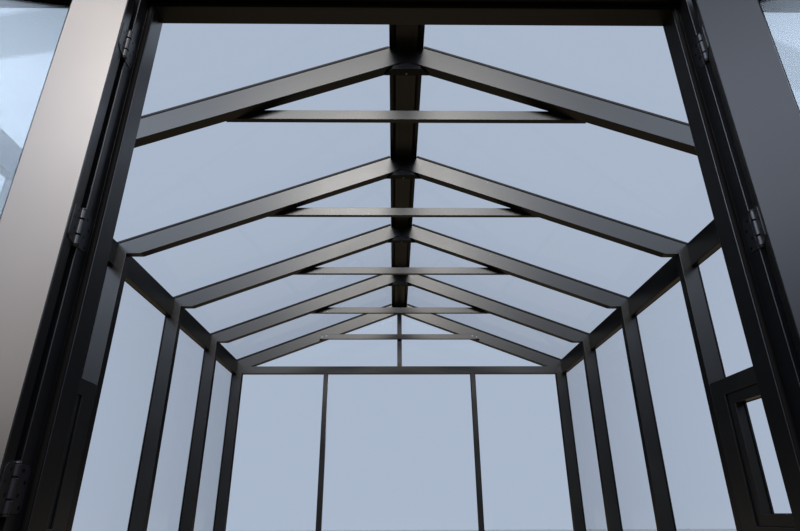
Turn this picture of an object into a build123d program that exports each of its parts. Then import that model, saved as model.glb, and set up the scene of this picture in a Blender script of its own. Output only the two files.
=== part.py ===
"""Glazed garden greenhouse: anthracite aluminium frames, clear glass and a pair of outward doors.

Frame: X across the gable, right as seen from in front; Y runs from the front gable to the back
one; Z up. The origin is on the ground, under the middle of the doorway, in the plane of the front
wall's face. Millimetres. The doors stand folded back, as they do in summer.
"""
from build123d import *
from math import cos, radians, sin, tan
import os

os.makedirs("parts", exist_ok=True)

# Overall form
INNER_WIDTH = 3090.0          # between the inner faces of the side posts
BAY = 870.0                   # from one portal frame to the next
BAY_COUNT = 5
POST_TOP = 2090.0             # top of the posts, where the rafter feet sit
ROOF_PITCH = 21.0             # degrees

# Aluminium sections
ARRIS = 2.0                   # taken off the arrises that show indoors
FRAME_T = 50.0                # every portal frame, measured along the house
POST_DEPTH = 86.0             # side posts, across the wall
RAFTER_DEPTH = 100.0          # square to the slope
RAFTER_FOOT = 82.0            # level foot that reaches inside the post
SILL_HEIGHT = 50.0
EAVES_T = 32.0                # eaves beam, across the wall
EAVES_DROP = 75.0             # eaves beam below the top of the posts
BACK_TIE_HEIGHT = 70.0
MULLION_WIDTH = 46.0
MULLION_SPACING = 1442.0
COLLAR_HEIGHT = 51.0
COLLAR_T = 25.0
COLLAR_DROP = 266.0           # apex of the rafters' underside to the middle of a collar tie
COLLAR_LAP = 111.0            # how far a tie runs on past the rafter's underside
APEX_PLATE_WIDTH = 220.0
APEX_PLATE_NOSE = 124.0       # width left at its front, where both corners are cut off
APEX_PLATE_INSET = 4.0        # plate kept back from each face of its frame

# Ridge extrusion
RIDGE_WIDTH = 97.0
RIDGE_RISE = 59.0             # underside above the rafters' inner corner
RIDGE_WING_SPAN = 154.0
RIDGE_WING_T = 8.0
RIDGE_GROOVE = 3.0
RIDGE_GROOVE_SPACING = 52.0

# Glazing
GASKET_T = 6.0
GLASS_T = 4.0
CAP_T = 5.0
ROOF_CAP_T = 11.0             # the roof's caps are deeper than those of the walls
CAP_INSET = 4.0               # caps are this much narrower than the metal on each side
CAP_CHAMFER = 2.0
PANE_GAP = 10.0
EDGE_COVER = 8.0              # bare metal left outside the outermost glass edge
ROOF_OVERHANG = 25.0          # roof glass past the wall
GABLE_EDGE = 20.0             # gable glass below the rafters' upper face
PANE_EDGE = 22.0              # glass on the face of a door post or the door head
RIDGE_CAP_REACH = 82.0        # along each slope
RIDGE_CAP_T = 3.0

# Double door
STOP_HALF = 716.0             # middle of the doorway to a door stop
STOP_STEP = 17.0
STOP_ROUND = 3.0
DOOR_POST_WIDTH = 50.0
DOOR_POST_DEPTH = 101.0
REVEAL_DEPTH = 42.0           # depth of the rebate that the leaf closes into
HEAD_HEIGHT = 50.0
THRESHOLD_HEIGHT = 25.0
THRESHOLD_NOSE = 30.0         # threshold in front of the wall
THRESHOLD_LIP = 9.0           # height of the nose at its front
TREAD_COUNT = 5               # grooves along the threshold
TREAD_GROOVE = 3.0
TREAD_PITCH = 12.0
LEAF_T = 42.0
LEAF_PROUD = 6.0              # closed leaf in front of the door posts
LEAF_GAP = 6.0                # head, foot and middle
HINGE_GAP = 5.0               # leaf edge to door post
STILE_WIDTH = 110.0
BOTTOM_RAIL = 150.0
LEAF_CHAMFER = 2.0
BEAD_WIDTH = 17.0             # glazing beads round the leaf's glass
BEAD_SET = 1.0                # beads behind the leaf's faces
BEAD_CHAMFER = 3.0
DOOR_GLASS_T = 6.0
RIGHT_OPEN = 157.0            # how far the right leaf stands open
LEFT_OPEN = 170.0

# Hinges
HINGE_COUNT = 4
HINGE_TOP_MARGIN = 209.0      # top of the leaf to the middle of the top hinge
HINGE_FOOT_MARGIN = 254.0     # foot of the leaf to the middle of the lowest hinge
HINGE_HEIGHT = 82.0
KNUCKLE_R = 8.0
LEAF_KNUCKLE = 37.0           # the middle knuckle, which turns with the leaf
PIN_R = 3.5
PIN_PLAY = 0.1
KNUCKLE_PLAY = 1.0
HINGE_PLATE_T = 2.0
HINGE_PLATE_WIDTH = 32.0
HINGE_PLATE_CHAMFER = 8.0

# Side windows
WINDOW_BAY = 1                # second bay from the front
WINDOW_BOTTOM = 630.0
WINDOW_TOP = 1358.0
WINDOW_STILE = 113.0          # of the window frame, seen from indoors
WINDOW_HEAD = 74.0
WINDOW_CORNER = 16.0          # rounding of the frame's indoor corners
WINDOW_STOP = 8.0             # lip of the frame that the sash closes against
SASH_RECESS = 11.0            # sash face behind the frame's inner face
SASH_DEPTH = 55.0
SASH_RAIL = 55.0
SASH_GAP = 3.0
SASH_GROOVE = 8.0             # how far the pane reaches into the sash
SASH_BEAD = 8.0               # pane to the sash's outer face
WINDOW_CHAMFER = 2.0

# Lever handle
HANDLE_LEVEL = 1020.0
HANDLE_PLATE_WIDTH = 34.0
HANDLE_PLATE_HEIGHT = 220.0
HANDLE_PLATE_T = 8.0
LEVER_R = 9.0
LEVER_NECK = 42.0
LEVER_LENGTH = 120.0

# Places that follow
SLOPE = tan(radians(ROOF_PITCH))
RISE = cos(radians(ROOF_PITCH))
HALF_IN = INNER_WIDTH / 2
HALF_OUT = HALF_IN + POST_DEPTH
LENGTH = BAY * BAY_COUNT + FRAME_T
FRAMES = [BAY * k for k in range(BAY_COUNT + 1)]
APEX_UNDER = POST_TOP + (HALF_IN - RAFTER_FOOT) * SLOPE
APEX_TOP = APEX_UNDER + RAFTER_DEPTH / RISE
EAVES_BOTTOM = POST_TOP - EAVES_DROP
EAVES_FACE = HALF_OUT - EAVES_T
REVEAL_HALF = STOP_HALF + STOP_STEP
DOOR_POST_OUT = REVEAL_HALF + DOOR_POST_WIDTH
HEAD_BOTTOM = POST_TOP - HEAD_HEIGHT
GLASS_OUT = GASKET_T + GLASS_T
SASH_FACE = POST_DEPTH - SASH_RECESS - SASH_DEPTH
OUTER_STILE = WINDOW_STILE - WINDOW_STOP
OUTER_HEAD = WINDOW_HEAD - WINDOW_STOP


def save(builder, name):
    """Label a finished piece and write its STEP file."""
    builder.part.label = name
    export_step(builder.part, f"parts/{name}.step")


def roof(x):
    """Height of the rafters' upper face at a distance x from the middle."""
    return APEX_TOP - abs(x) * SLOPE


def across(y):
    """Plane of a portal frame's front face; what it holds is extruded by a negative amount."""
    return Plane.XZ.offset(-y)


def box(low, high):
    """A plain block between two corners, joined to the part being built."""
    size = [b - a for a, b in zip(low, high)]
    middle = tuple((a + b) / 2 for a, b in zip(low, high))
    with Locations(middle):
        Box(*size)


def patch(low, high, mode=Mode.ADD):
    """A rectangle in the current sketch between two corners."""
    with Locations(((low[0] + high[0]) / 2, (low[1] + high[1]) / 2)):
        Rectangle(high[0] - low[0], high[1] - low[1], mode=mode)


def save_mirrored(right, name):
    """Write the left-hand copy of a right-hand piece."""
    with BuildPart() as left:
        mirror(right.part, about=Plane.YZ)
    save(left, name)


# Base frame
with BuildPart() as side_sill:
    with BuildSketch(across(0)) as section:
        patch((HALF_IN, 0), (HALF_OUT, SILL_HEIGHT))
        fillet(section.vertices().group_by(Axis.Y)[-1].sort_by(Axis.X)[0], ARRIS)
    extrude(amount=-LENGTH)
save(side_sill, "side_sill_right")
save_mirrored(side_sill, "side_sill_left")

with BuildPart() as front_sills:
    box((DOOR_POST_OUT, 0, 0), (HALF_IN, FRAME_T, SILL_HEIGHT))
    mirror(about=Plane.YZ)
save(front_sills, "front_sills")

with BuildPart() as back_sill:
    box((-HALF_IN, LENGTH - FRAME_T, 0), (HALF_IN, LENGTH, SILL_HEIGHT))
    indoor = back_sill.edges().filter_by(Axis.X).group_by(Axis.Y)[0]
    fillet(indoor.sort_by(Axis.Z)[-1], ARRIS)
save(back_sill, "back_sill")

with BuildPart() as threshold:
    box((-DOOR_POST_OUT, 0, 0), (DOOR_POST_OUT, DOOR_POST_DEPTH, THRESHOLD_HEIGHT))
    with BuildSketch(Plane.YZ.offset(-REVEAL_HALF)):
        with BuildLine():
            Polyline(
                (-THRESHOLD_NOSE, 0),
                (0, 0),
                (0, THRESHOLD_HEIGHT),
                (-THRESHOLD_NOSE, THRESHOLD_LIP),
                close=True,
            )
        make_face()
    extrude(amount=2 * REVEAL_HALF)
    with BuildSketch(Plane.YZ.offset(-STOP_HALF)):
        with Locations((DOOR_POST_DEPTH / 2, THRESHOLD_HEIGHT)):
            with GridLocations(TREAD_PITCH, 1, TREAD_COUNT, 1):
                Rectangle(TREAD_GROOVE, TREAD_GROOVE)
    extrude(amount=2 * STOP_HALF, mode=Mode.SUBTRACT)
save(threshold, "threshold")


def posts(places):
    """Posts of the right wall, their two indoor arrises rounded."""
    with BuildSketch(Plane.XY.offset(SILL_HEIGHT)) as section:
        for y in places:
            patch((HALF_IN, y), (HALF_OUT, y + FRAME_T))
        fillet(section.vertices().group_by(Axis.X)[0], ARRIS)
    extrude(section.sketch, amount=POST_TOP - SILL_HEIGHT)


# Posts
with BuildPart() as corner_posts:
    posts((FRAMES[0], FRAMES[-1]))
    mirror(about=Plane.YZ)
save(corner_posts, "corner_posts")

with BuildPart() as side_posts:
    posts(FRAMES[1:-1])
save(side_posts, "side_posts_right")
save_mirrored(side_posts, "side_posts_left")

with BuildPart() as door_posts:
    with BuildSketch(Plane.XY.offset(THRESHOLD_HEIGHT)) as section:
        with BuildLine():
            Polyline(
                (REVEAL_HALF, 0),
                (DOOR_POST_OUT, 0),
                (DOOR_POST_OUT, DOOR_POST_DEPTH),
                (STOP_HALF, DOOR_POST_DEPTH),
                (STOP_HALF, REVEAL_DEPTH),
                (REVEAL_HALF, REVEAL_DEPTH),
                close=True,
            )
        make_face()
        fillet(section.vertices().group_by(Axis.Y)[0].sort_by(Axis.X)[0], ARRIS)
        fillet(section.vertices().group_by(Axis.X)[0], STOP_ROUND)
        fillet(section.vertices().group_by(Axis.Y)[-1].sort_by(Axis.X)[-1], ARRIS)
    extrude(amount=HEAD_BOTTOM - THRESHOLD_HEIGHT)
    mirror(about=Plane.YZ)
save(door_posts, "door_posts")

with BuildPart() as back_mullions:
    with BuildSketch(Plane.XY.offset(SILL_HEIGHT)) as section:
        with Locations((0, LENGTH - FRAME_T / 2)):
            with GridLocations(MULLION_SPACING, 1, 2, 1):
                Rectangle(MULLION_WIDTH, FRAME_T)
        fillet(section.vertices().group_by(Axis.Y)[0], ARRIS)
    extrude(amount=POST_TOP - BACK_TIE_HEIGHT - SILL_HEIGHT)
save(back_mullions, "back_mullions")

# Tie beams and king posts of the gables
with BuildPart() as front_tie:
    box((-HALF_IN, 0, HEAD_BOTTOM), (HALF_IN, FRAME_T, POST_TOP))
    box((-DOOR_POST_OUT, 0, HEAD_BOTTOM), (DOOR_POST_OUT, DOOR_POST_DEPTH, POST_TOP))
    with BuildSketch(Plane.XY.offset(HEAD_BOTTOM)):
        with Locations((0, REVEAL_DEPTH / 2)):
            Rectangle(2 * REVEAL_HALF, REVEAL_DEPTH)
    extrude(amount=STOP_STEP, mode=Mode.SUBTRACT)
    lengthwise = front_tie.edges().filter_by(Axis.X)
    fillet(lengthwise.group_by(Axis.Z)[0].group_by(Axis.Y)[1], STOP_ROUND)
    fillet(lengthwise.group_by(Axis.Y)[-1], ARRIS)
save(front_tie, "front_tie_beam")

with BuildPart() as back_tie:
    box((-HALF_IN, LENGTH - FRAME_T, POST_TOP - BACK_TIE_HEIGHT), (HALF_IN, LENGTH, POST_TOP))
    fillet(back_tie.edges().filter_by(Axis.X).group_by(Axis.Y)[0], ARRIS)
save(back_tie, "back_tie_beam")

with BuildPart() as king_posts:
    for y in (FRAMES[0], FRAMES[-1]):
        half = MULLION_WIDTH / 2
        with BuildSketch(across(y)):
            with BuildLine():
                Polyline(
                    (-half, POST_TOP),
                    (half, POST_TOP),
                    (half, APEX_UNDER - half * SLOPE),
                    (0, APEX_UNDER),
                    (-half, APEX_UNDER - half * SLOPE),
                    close=True,
                )
            make_face()
        extrude(amount=-FRAME_T)
    upright = king_posts.edges().filter_by(Axis.Z).group_by(Axis.Y)
    fillet(upright[1] + upright[2], ARRIS)
save(king_posts, "king_posts")

# Beams along the house
with BuildPart() as eaves_beam:
    for y in FRAMES[:-1]:
        with BuildSketch(across(y + FRAME_T)) as section:
            with BuildLine():
                Polyline(
                    (EAVES_FACE, EAVES_BOTTOM),
                    (HALF_OUT, EAVES_BOTTOM),
                    (HALF_OUT, roof(HALF_OUT)),
                    (EAVES_FACE, roof(EAVES_FACE)),
                    close=True,
                )
            make_face()
            chamfer(section.vertices().group_by(Axis.Y)[0].sort_by(Axis.X)[0], ARRIS)
        extrude(amount=-(BAY - FRAME_T))
save(eaves_beam, "eaves_beam_right")
save_mirrored(eaves_beam, "eaves_beam_left")

with BuildPart() as ridge_beam:
    half = RIDGE_WIDTH / 2
    wing = RIDGE_WING_SPAN / 2
    drop = RIDGE_WING_T / RISE
    for y in FRAMES[:-1]:
        with BuildSketch(across(y + FRAME_T)):
            with BuildLine():
                Polyline(
                    (0, APEX_UNDER + RIDGE_RISE),
                    (half, APEX_UNDER + RIDGE_RISE),
                    (half, roof(half) - drop),
                    (wing, roof(wing) - drop),
                    (wing, roof(wing)),
                    (0, APEX_TOP),
                    close=True,
                )
            make_face()
            mirror(about=Plane.YZ)
            with Locations((0, APEX_UNDER + RIDGE_RISE + RIDGE_GROOVE / 2)):
                with GridLocations(RIDGE_GROOVE_SPACING, 1, 2, 1):
                    Rectangle(RIDGE_GROOVE, RIDGE_GROOVE, mode=Mode.SUBTRACT)
        extrude(amount=-(BAY - FRAME_T))
save(ridge_beam, "ridge_beam")


def down_slope(start):
    """Plane square to the right slope: x along the house, y up from the rafters' upper face."""
    p = radians(ROOF_PITCH)
    along = Vector(cos(p), 0, -sin(p))
    return Plane(origin=Vector(0, 0, APEX_TOP) + along * start, x_dir=(0, 1, 0), z_dir=along)


# Rafters cut to length: mitred under the ridge, level over the post and plumb outside
with BuildPart() as rafters:
    with BuildSketch(down_slope(0)) as section:
        for y in FRAMES:
            patch((y, -RAFTER_DEPTH), (y + FRAME_T, 0))
        chamfer(section.vertices().group_by(Axis.Y)[0], ARRIS)
    extrude(amount=HALF_OUT / RISE + RAFTER_DEPTH * SLOPE)
    with BuildSketch(across(0)):
        patch((0, POST_TOP), (HALF_OUT, APEX_TOP))
    extrude(amount=-LENGTH, mode=Mode.INTERSECT)
save(rafters, "rafters_right")
save_mirrored(rafters, "rafters_left")


def under_rafter(z):
    """Distance from the middle at which a rafter's underside stands at height z."""
    return (APEX_UNDER - z) / SLOPE


# Collar ties lapped on the rafters: on their far side, but on the room side of the back gable
with BuildPart() as collar_ties:
    level = APEX_UNDER - COLLAR_DROP
    reach = under_rafter(level) + COLLAR_LAP
    for y in [frame + FRAME_T for frame in FRAMES[:-1]] + [FRAMES[-1] - COLLAR_T]:
        box(
            (-reach, y, level - COLLAR_HEIGHT / 2),
            (reach, y + COLLAR_T, level + COLLAR_HEIGHT / 2),
        )
    chamfer(collar_ties.edges().filter_by(Axis.X), ARRIS)
save(collar_ties, "collar_ties")

with BuildPart() as apex_plates:
    half = APEX_PLATE_WIDTH / 2
    for y in FRAMES[1:-1]:
        with BuildSketch(across(y + APEX_PLATE_INSET)):
            with BuildLine():
                Polyline(
                    (-half, APEX_UNDER - half * SLOPE),
                    (half, APEX_UNDER - half * SLOPE),
                    (0, APEX_UNDER),
                    close=True,
                )
            make_face()
        extrude(amount=-(FRAME_T - 2 * APEX_PLATE_INSET))
    with BuildSketch(Plane.XY.offset(APEX_UNDER - half * SLOPE)):
        for y in FRAMES[1:-1]:
            Polygon(
                (-APEX_PLATE_NOSE / 2, y + APEX_PLATE_INSET),
                (APEX_PLATE_NOSE / 2, y + APEX_PLATE_INSET),
                (half, y + FRAME_T - APEX_PLATE_INSET),
                (-half, y + FRAME_T - APEX_PLATE_INSET),
                align=None,
            )
    extrude(amount=half * SLOPE, mode=Mode.INTERSECT)
save(apex_plates, "apex_plates")


def roof_plane(height):
    """Plane on the right slope, x down the slope from the apex, y along the house."""
    p = radians(ROOF_PITCH)
    normal = Vector(sin(p), 0, cos(p))
    origin = Vector(0, 0, APEX_TOP) + normal * height
    return Plane(origin=origin, x_dir=(cos(p), 0, -sin(p)), z_dir=normal)


def pane_ends(bay):
    """Where a bay's pane starts and stops along the house."""
    start = FRAMES[bay] + (EDGE_COVER if bay == 0 else (FRAME_T + PANE_GAP) / 2)
    last = bay == BAY_COUNT - 1
    stop = FRAMES[bay + 1] + (FRAME_T - EDGE_COVER if last else (FRAME_T - PANE_GAP) / 2)
    return start, stop


# Roof glazing
SLOPE_END = (HALF_OUT + ROOF_OVERHANG) / RISE
with BuildPart() as roof_gasket:
    with BuildSketch(roof_plane(0)):
        patch((PANE_GAP, 0), (HALF_OUT / RISE, LENGTH))
        for y in FRAMES[:-1]:
            patch(
                (RIDGE_WING_SPAN / 2 / RISE, y + FRAME_T),
                (EAVES_FACE / RISE, y + BAY),
                mode=Mode.SUBTRACT,
            )
    extrude(amount=GASKET_T)
    mirror(about=Plane.YZ)
save(roof_gasket, "roof_gaskets")

with BuildPart() as roof_glass:
    for bay in range(BAY_COUNT):
        start, stop = pane_ends(bay)
        with BuildSketch(roof_plane(GASKET_T)):
            patch((PANE_GAP, start), (SLOPE_END, stop))
        extrude(amount=GLASS_T)
save(roof_glass, "roof_glass_right")
save_mirrored(roof_glass, "roof_glass_left")

with BuildPart() as roof_caps:
    with BuildSketch(down_slope(RIDGE_CAP_REACH)) as section:
        for y in FRAMES:
            patch((y + CAP_INSET, GLASS_OUT), (y + FRAME_T - CAP_INSET, GLASS_OUT + ROOF_CAP_T))
        chamfer(section.vertices().group_by(Axis.Y)[-1], CAP_CHAMFER)
    extrude(amount=SLOPE_END - RIDGE_CAP_REACH)
    mirror(about=Plane.YZ)
save(roof_caps, "roof_caps")

with BuildPart() as ridge_cap:
    with BuildSketch(across(0)):
        with BuildLine():
            reach = RIDGE_CAP_REACH * RISE
            low = APEX_TOP + GLASS_OUT / RISE
            high = low + RIDGE_CAP_T / RISE
            Polyline(
                (0, low),
                (reach, low - reach * SLOPE),
                (reach, high - reach * SLOPE),
                (0, high),
                (-reach, high - reach * SLOPE),
                (-reach, low - reach * SLOPE),
                close=True,
            )
        make_face()
    extrude(amount=-LENGTH)
save(ridge_cap, "ridge_cap")

# Side glazing
SIDE_GLASS_TOP = roof(HALF_OUT) - EDGE_COVER
WINDOW_FACE = FRAMES[WINDOW_BAY] + FRAME_T


def side_plane(offset):
    """Plane on the right wall's outside, x along the house, y up, facing out."""
    return Plane.YZ.offset(HALF_OUT + offset)


def side_face(inset):
    """Outer face of the side wall's metal, with the daylight openings grown by an inset."""
    patch((0, EDGE_COVER), (LENGTH, SIDE_GLASS_TOP))
    for bay in range(BAY_COUNT):
        low = FRAMES[bay] + FRAME_T - inset
        high = FRAMES[bay + 1] + inset
        if bay == WINDOW_BAY:
            patch((low, SILL_HEIGHT - inset), (high, WINDOW_BOTTOM + inset), mode=Mode.SUBTRACT)
            patch((low, WINDOW_TOP - inset), (high, EAVES_BOTTOM + inset), mode=Mode.SUBTRACT)
            patch(
                (low + OUTER_STILE, WINDOW_BOTTOM + OUTER_HEAD - inset),
                (high - OUTER_STILE, WINDOW_TOP - OUTER_HEAD + inset),
                mode=Mode.SUBTRACT,
            )
        else:
            patch((low, SILL_HEIGHT - inset), (high, EAVES_BOTTOM + inset), mode=Mode.SUBTRACT)


with BuildPart() as side_gaskets:
    with BuildSketch(side_plane(0)):
        side_face(0)
    extrude(amount=GASKET_T)
    mirror(about=Plane.YZ)
save(side_gaskets, "side_gaskets")

with BuildPart() as side_glass:
    for bay in range(BAY_COUNT):
        start, stop = pane_ends(bay)
        with BuildSketch(side_plane(GASKET_T)):
            if bay == WINDOW_BAY:
                patch((start, EDGE_COVER), (stop, WINDOW_BOTTOM + OUTER_HEAD / 2))
                patch((start, WINDOW_TOP - OUTER_HEAD / 2), (stop, SIDE_GLASS_TOP))
            else:
                patch((start, EDGE_COVER), (stop, SIDE_GLASS_TOP))
        extrude(amount=GLASS_T)
save(side_glass, "side_glass_right")
save_mirrored(side_glass, "side_glass_left")

with BuildPart() as side_caps:
    with BuildSketch(side_plane(GLASS_OUT)):
        side_face(CAP_INSET)
    extrude(amount=CAP_T)
    chamfer(side_caps.faces().sort_by(Axis.X)[-1].edges(), CAP_CHAMFER)
    mirror(about=Plane.YZ)
save(side_caps, "side_caps")

# Gable glazing
EDGE_DROP = GABLE_EDGE / RISE


def gable_outline():
    """Right half of a gable's glazed outline, up to the roof."""
    Polygon(
        (0, EDGE_COVER),
        (HALF_OUT - EDGE_COVER, EDGE_COVER),
        (HALF_OUT - EDGE_COVER, roof(HALF_OUT - EDGE_COVER) - EDGE_DROP),
        (0, APEX_TOP - EDGE_DROP),
        align=None,
    )


def gable_light(inset, low):
    """Cuts the daylight between king post, tie beam and rafter out of the right half."""
    side = MULLION_WIDTH / 2 - inset
    bottom = low - inset
    lift = inset / RISE
    Polygon(
        (side, bottom),
        (under_rafter(bottom - lift), bottom),
        (side, APEX_UNDER - side * SLOPE + lift),
        align=None,
        mode=Mode.SUBTRACT,
    )


def front_face(inset):
    """Outer face of the front gable's metal beside and over the doors."""
    gable_outline()
    gable_light(inset, POST_TOP)
    patch(
        (DOOR_POST_OUT - inset, SILL_HEIGHT - inset),
        (HALF_IN + inset, HEAD_BOTTOM + inset),
        mode=Mode.SUBTRACT,
    )
    clear = DOOR_POST_OUT - PANE_EDGE
    patch((0, 0), (clear, HEAD_BOTTOM + PANE_EDGE), mode=Mode.SUBTRACT)
    mirror(about=Plane.YZ)


def back_face(inset):
    """Outer face of the back gable's metal."""
    gable_outline()
    gable_light(inset, POST_TOP)
    inner = (MULLION_SPACING - MULLION_WIDTH) / 2 + inset
    outer = (MULLION_SPACING + MULLION_WIDTH) / 2 - inset
    top = POST_TOP - BACK_TIE_HEIGHT + inset
    patch((0, SILL_HEIGHT - inset), (inner, top), mode=Mode.SUBTRACT)
    patch((outer, SILL_HEIGHT - inset), (HALF_IN + inset, top), mode=Mode.SUBTRACT)
    mirror(about=Plane.YZ)


with BuildPart() as gable_gaskets:
    with BuildSketch(across(0)):
        front_face(0)
    extrude(amount=GASKET_T)
    with BuildSketch(across(LENGTH)):
        back_face(0)
    extrude(amount=-GASKET_T)
save(gable_gaskets, "gable_gaskets")

with BuildPart() as gable_caps:
    with BuildSketch(across(-GLASS_OUT)):
        front_face(CAP_INSET)
    extrude(amount=CAP_T)
    with BuildSketch(across(LENGTH + GLASS_OUT)):
        back_face(CAP_INSET)
    extrude(amount=-CAP_T)
    facing = gable_caps.faces().filter_by(Axis.Y).group_by(Axis.Y)
    chamfer(facing[0].edges() + facing[-1].edges(), CAP_CHAMFER)
save(gable_caps, "gable_caps")

with BuildPart() as gable_glass:
    for y, low, thick in (
        (-GASKET_T, POST_TOP - HEAD_HEIGHT / 2, GLASS_T),
        (LENGTH + GASKET_T, POST_TOP - BACK_TIE_HEIGHT / 2, -GLASS_T),
    ):
        with BuildSketch(across(y)):
            gable_outline()
            patch((0, 0), (HALF_OUT, low + PANE_GAP / 2), mode=Mode.SUBTRACT)
            patch((0, 0), (PANE_GAP / 2, APEX_TOP), mode=Mode.SUBTRACT)
            mirror(about=Plane.YZ)
        extrude(amount=thick)
save(gable_glass, "gable_glass")

with BuildPart() as front_glass:
    with BuildSketch(across(-GASKET_T)):
        patch(
            (DOOR_POST_OUT - PANE_EDGE, EDGE_COVER),
            (HALF_OUT - EDGE_COVER, POST_TOP - (HEAD_HEIGHT + PANE_GAP) / 2),
        )
        mirror(about=Plane.YZ)
    extrude(amount=GLASS_T)
save(front_glass, "front_side_glass")

with BuildPart() as back_glass:
    top = POST_TOP - (BACK_TIE_HEIGHT + PANE_GAP) / 2
    with BuildSketch(across(LENGTH + GASKET_T)):
        patch(
            ((MULLION_SPACING + PANE_GAP) / 2, EDGE_COVER),
            (HALF_OUT - EDGE_COVER, top),
        )
        mirror(about=Plane.YZ)
        half = (MULLION_SPACING - PANE_GAP) / 2
        patch((-half, EDGE_COVER), (half, top))
    extrude(amount=-GLASS_T)
save(back_glass, "back_wall_glass")

# Side windows
WINDOW_MIDDLE = ((WINDOW_FACE + FRAMES[WINDOW_BAY + 1]) / 2, (WINDOW_BOTTOM + WINDOW_TOP) / 2)
WINDOW_SIZE = (BAY - FRAME_T, WINDOW_TOP - WINDOW_BOTTOM)
SASH_SIZE = (
    WINDOW_SIZE[0] - 2 * (OUTER_STILE + SASH_GAP),
    WINDOW_SIZE[1] - 2 * (OUTER_HEAD + SASH_GAP),
)
SASH_APERTURE = [size - 2 * SASH_RAIL for size in SASH_SIZE]


def opening(stile, head):
    """Cuts the light out of the side window's frame."""
    Rectangle(WINDOW_SIZE[0] - 2 * stile, WINDOW_SIZE[1] - 2 * head, mode=Mode.SUBTRACT)


def sash_glass(mode=Mode.ADD):
    """The window's pane, which reaches into a groove all round the sash."""
    with BuildSketch(side_plane(-SASH_FACE - SASH_BEAD - GLASS_T)) as pane:
        with Locations(WINDOW_MIDDLE):
            Rectangle(*[size + 2 * SASH_GROOVE for size in SASH_APERTURE])
    extrude(pane.sketch, amount=GLASS_T, mode=mode)


with BuildPart() as window_frames:
    with BuildSketch(side_plane(-POST_DEPTH)):
        with Locations(WINDOW_MIDDLE):
            RectangleRounded(*WINDOW_SIZE, WINDOW_CORNER)
            opening(WINDOW_STILE, WINDOW_HEAD)
    extrude(amount=SASH_RECESS)
    with BuildSketch(side_plane(SASH_RECESS - POST_DEPTH)):
        with Locations(WINDOW_MIDDLE):
            Rectangle(*WINDOW_SIZE)
            opening(OUTER_STILE, OUTER_HEAD)
    extrude(amount=POST_DEPTH - SASH_RECESS)
    chamfer(window_frames.edges().group_by(Axis.X)[0], WINDOW_CHAMFER)
    mirror(about=Plane.YZ)
save(window_frames, "window_frames")

with BuildPart() as window_sashes:
    with BuildSketch(side_plane(SASH_RECESS - POST_DEPTH)):
        with Locations(WINDOW_MIDDLE):
            Rectangle(*SASH_SIZE)
            Rectangle(*SASH_APERTURE, mode=Mode.SUBTRACT)
    extrude(amount=SASH_DEPTH)
    chamfer(window_sashes.edges().group_by(Axis.X)[0], WINDOW_CHAMFER)
    sash_glass(mode=Mode.SUBTRACT)
    mirror(about=Plane.YZ)
save(window_sashes, "window_sashes")

with BuildPart() as window_glass:
    sash_glass()
    mirror(about=Plane.YZ)
save(window_glass, "window_glass")

# Door leaves, modelled where they stand open
AXIS_X = REVEAL_HALF - HINGE_GAP / 2
AXIS_Y = -LEAF_PROUD - KNUCKLE_R
LEAF_START = HINGE_GAP / 2
LEAF_END = AXIS_X - LEAF_GAP / 2
LEAF_BOTTOM = THRESHOLD_HEIGHT + LEAF_GAP
LEAF_TOP = HEAD_BOTTOM + STOP_STEP - LEAF_GAP


def leaf_plane(depth=0.0):
    """Upright plane of the right leaf: x away from the hinge axis, y up, facing indoors.

    Depth is measured from the hinge axis towards the leaf's inner face.
    """
    turn = radians(RIGHT_OPEN)
    along = Vector(-cos(turn), -sin(turn), 0)
    inward = Vector(-sin(turn), cos(turn), 0)
    return Plane(origin=Vector(AXIS_X, AXIS_Y, 0) + inward * depth, x_dir=along, z_dir=inward)


def save_left_leaf(right, name):
    """Write the left leaf's copy of a right-hand piece, turned on to where that leaf stands."""
    with BuildPart() as left:
        copy = mirror(right.part, about=Plane.YZ, mode=Mode.PRIVATE)
        add(copy.rotate(Axis((-AXIS_X, AXIS_Y, 0), (0, 0, 1)), RIGHT_OPEN - LEFT_OPEN))
    save(left, name)


GLASS_LOW = (LEAF_START + STILE_WIDTH, LEAF_BOTTOM + BOTTOM_RAIL)
GLASS_HIGH = (LEAF_END - STILE_WIDTH, LEAF_TOP - STILE_WIDTH)


def leaf_glass(mode=Mode.ADD):
    """The leaf's pane, held all round between the inner and the outer beads."""
    with BuildSketch(leaf_plane(KNUCKLE_R + (LEAF_T - DOOR_GLASS_T) / 2)) as pane:
        patch(GLASS_LOW, GLASS_HIGH)
    extrude(pane.sketch, amount=DOOR_GLASS_T, mode=mode)


# Stiles and rails first, then the beads, then the groove for the glass
with BuildPart() as door_frame:
    with BuildSketch(leaf_plane(KNUCKLE_R)):
        patch((LEAF_START, LEAF_BOTTOM), (LEAF_END, LEAF_TOP))
        patch(GLASS_LOW, GLASS_HIGH, mode=Mode.SUBTRACT)
    extrude(amount=LEAF_T)
    sides = door_frame.faces().filter_by(leaf_plane())
    chamfer([edge for side in sides for edge in side.outer_wire().edges()], LEAF_CHAMFER)
    with BuildSketch(leaf_plane(KNUCKLE_R + BEAD_SET)):
        patch(GLASS_LOW, GLASS_HIGH)
        patch(
            [side + BEAD_WIDTH for side in GLASS_LOW],
            [side - BEAD_WIDTH for side in GLASS_HIGH],
            mode=Mode.SUBTRACT,
        )
    extrude(amount=LEAF_T - 2 * BEAD_SET)
    beads = door_frame.faces(Select.LAST).filter_by(leaf_plane())
    rims = [edge for bead in beads for wire in bead.inner_wires() for edge in wire.edges()]
    chamfer(rims, BEAD_CHAMFER)
    leaf_glass(mode=Mode.SUBTRACT)
save(door_frame, "door_frame_right")
save_left_leaf(door_frame, "door_frame_left")

with BuildPart() as door_glass:
    leaf_glass()
save(door_glass, "door_glass_right")
save_left_leaf(door_glass, "door_glass_left")


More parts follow.
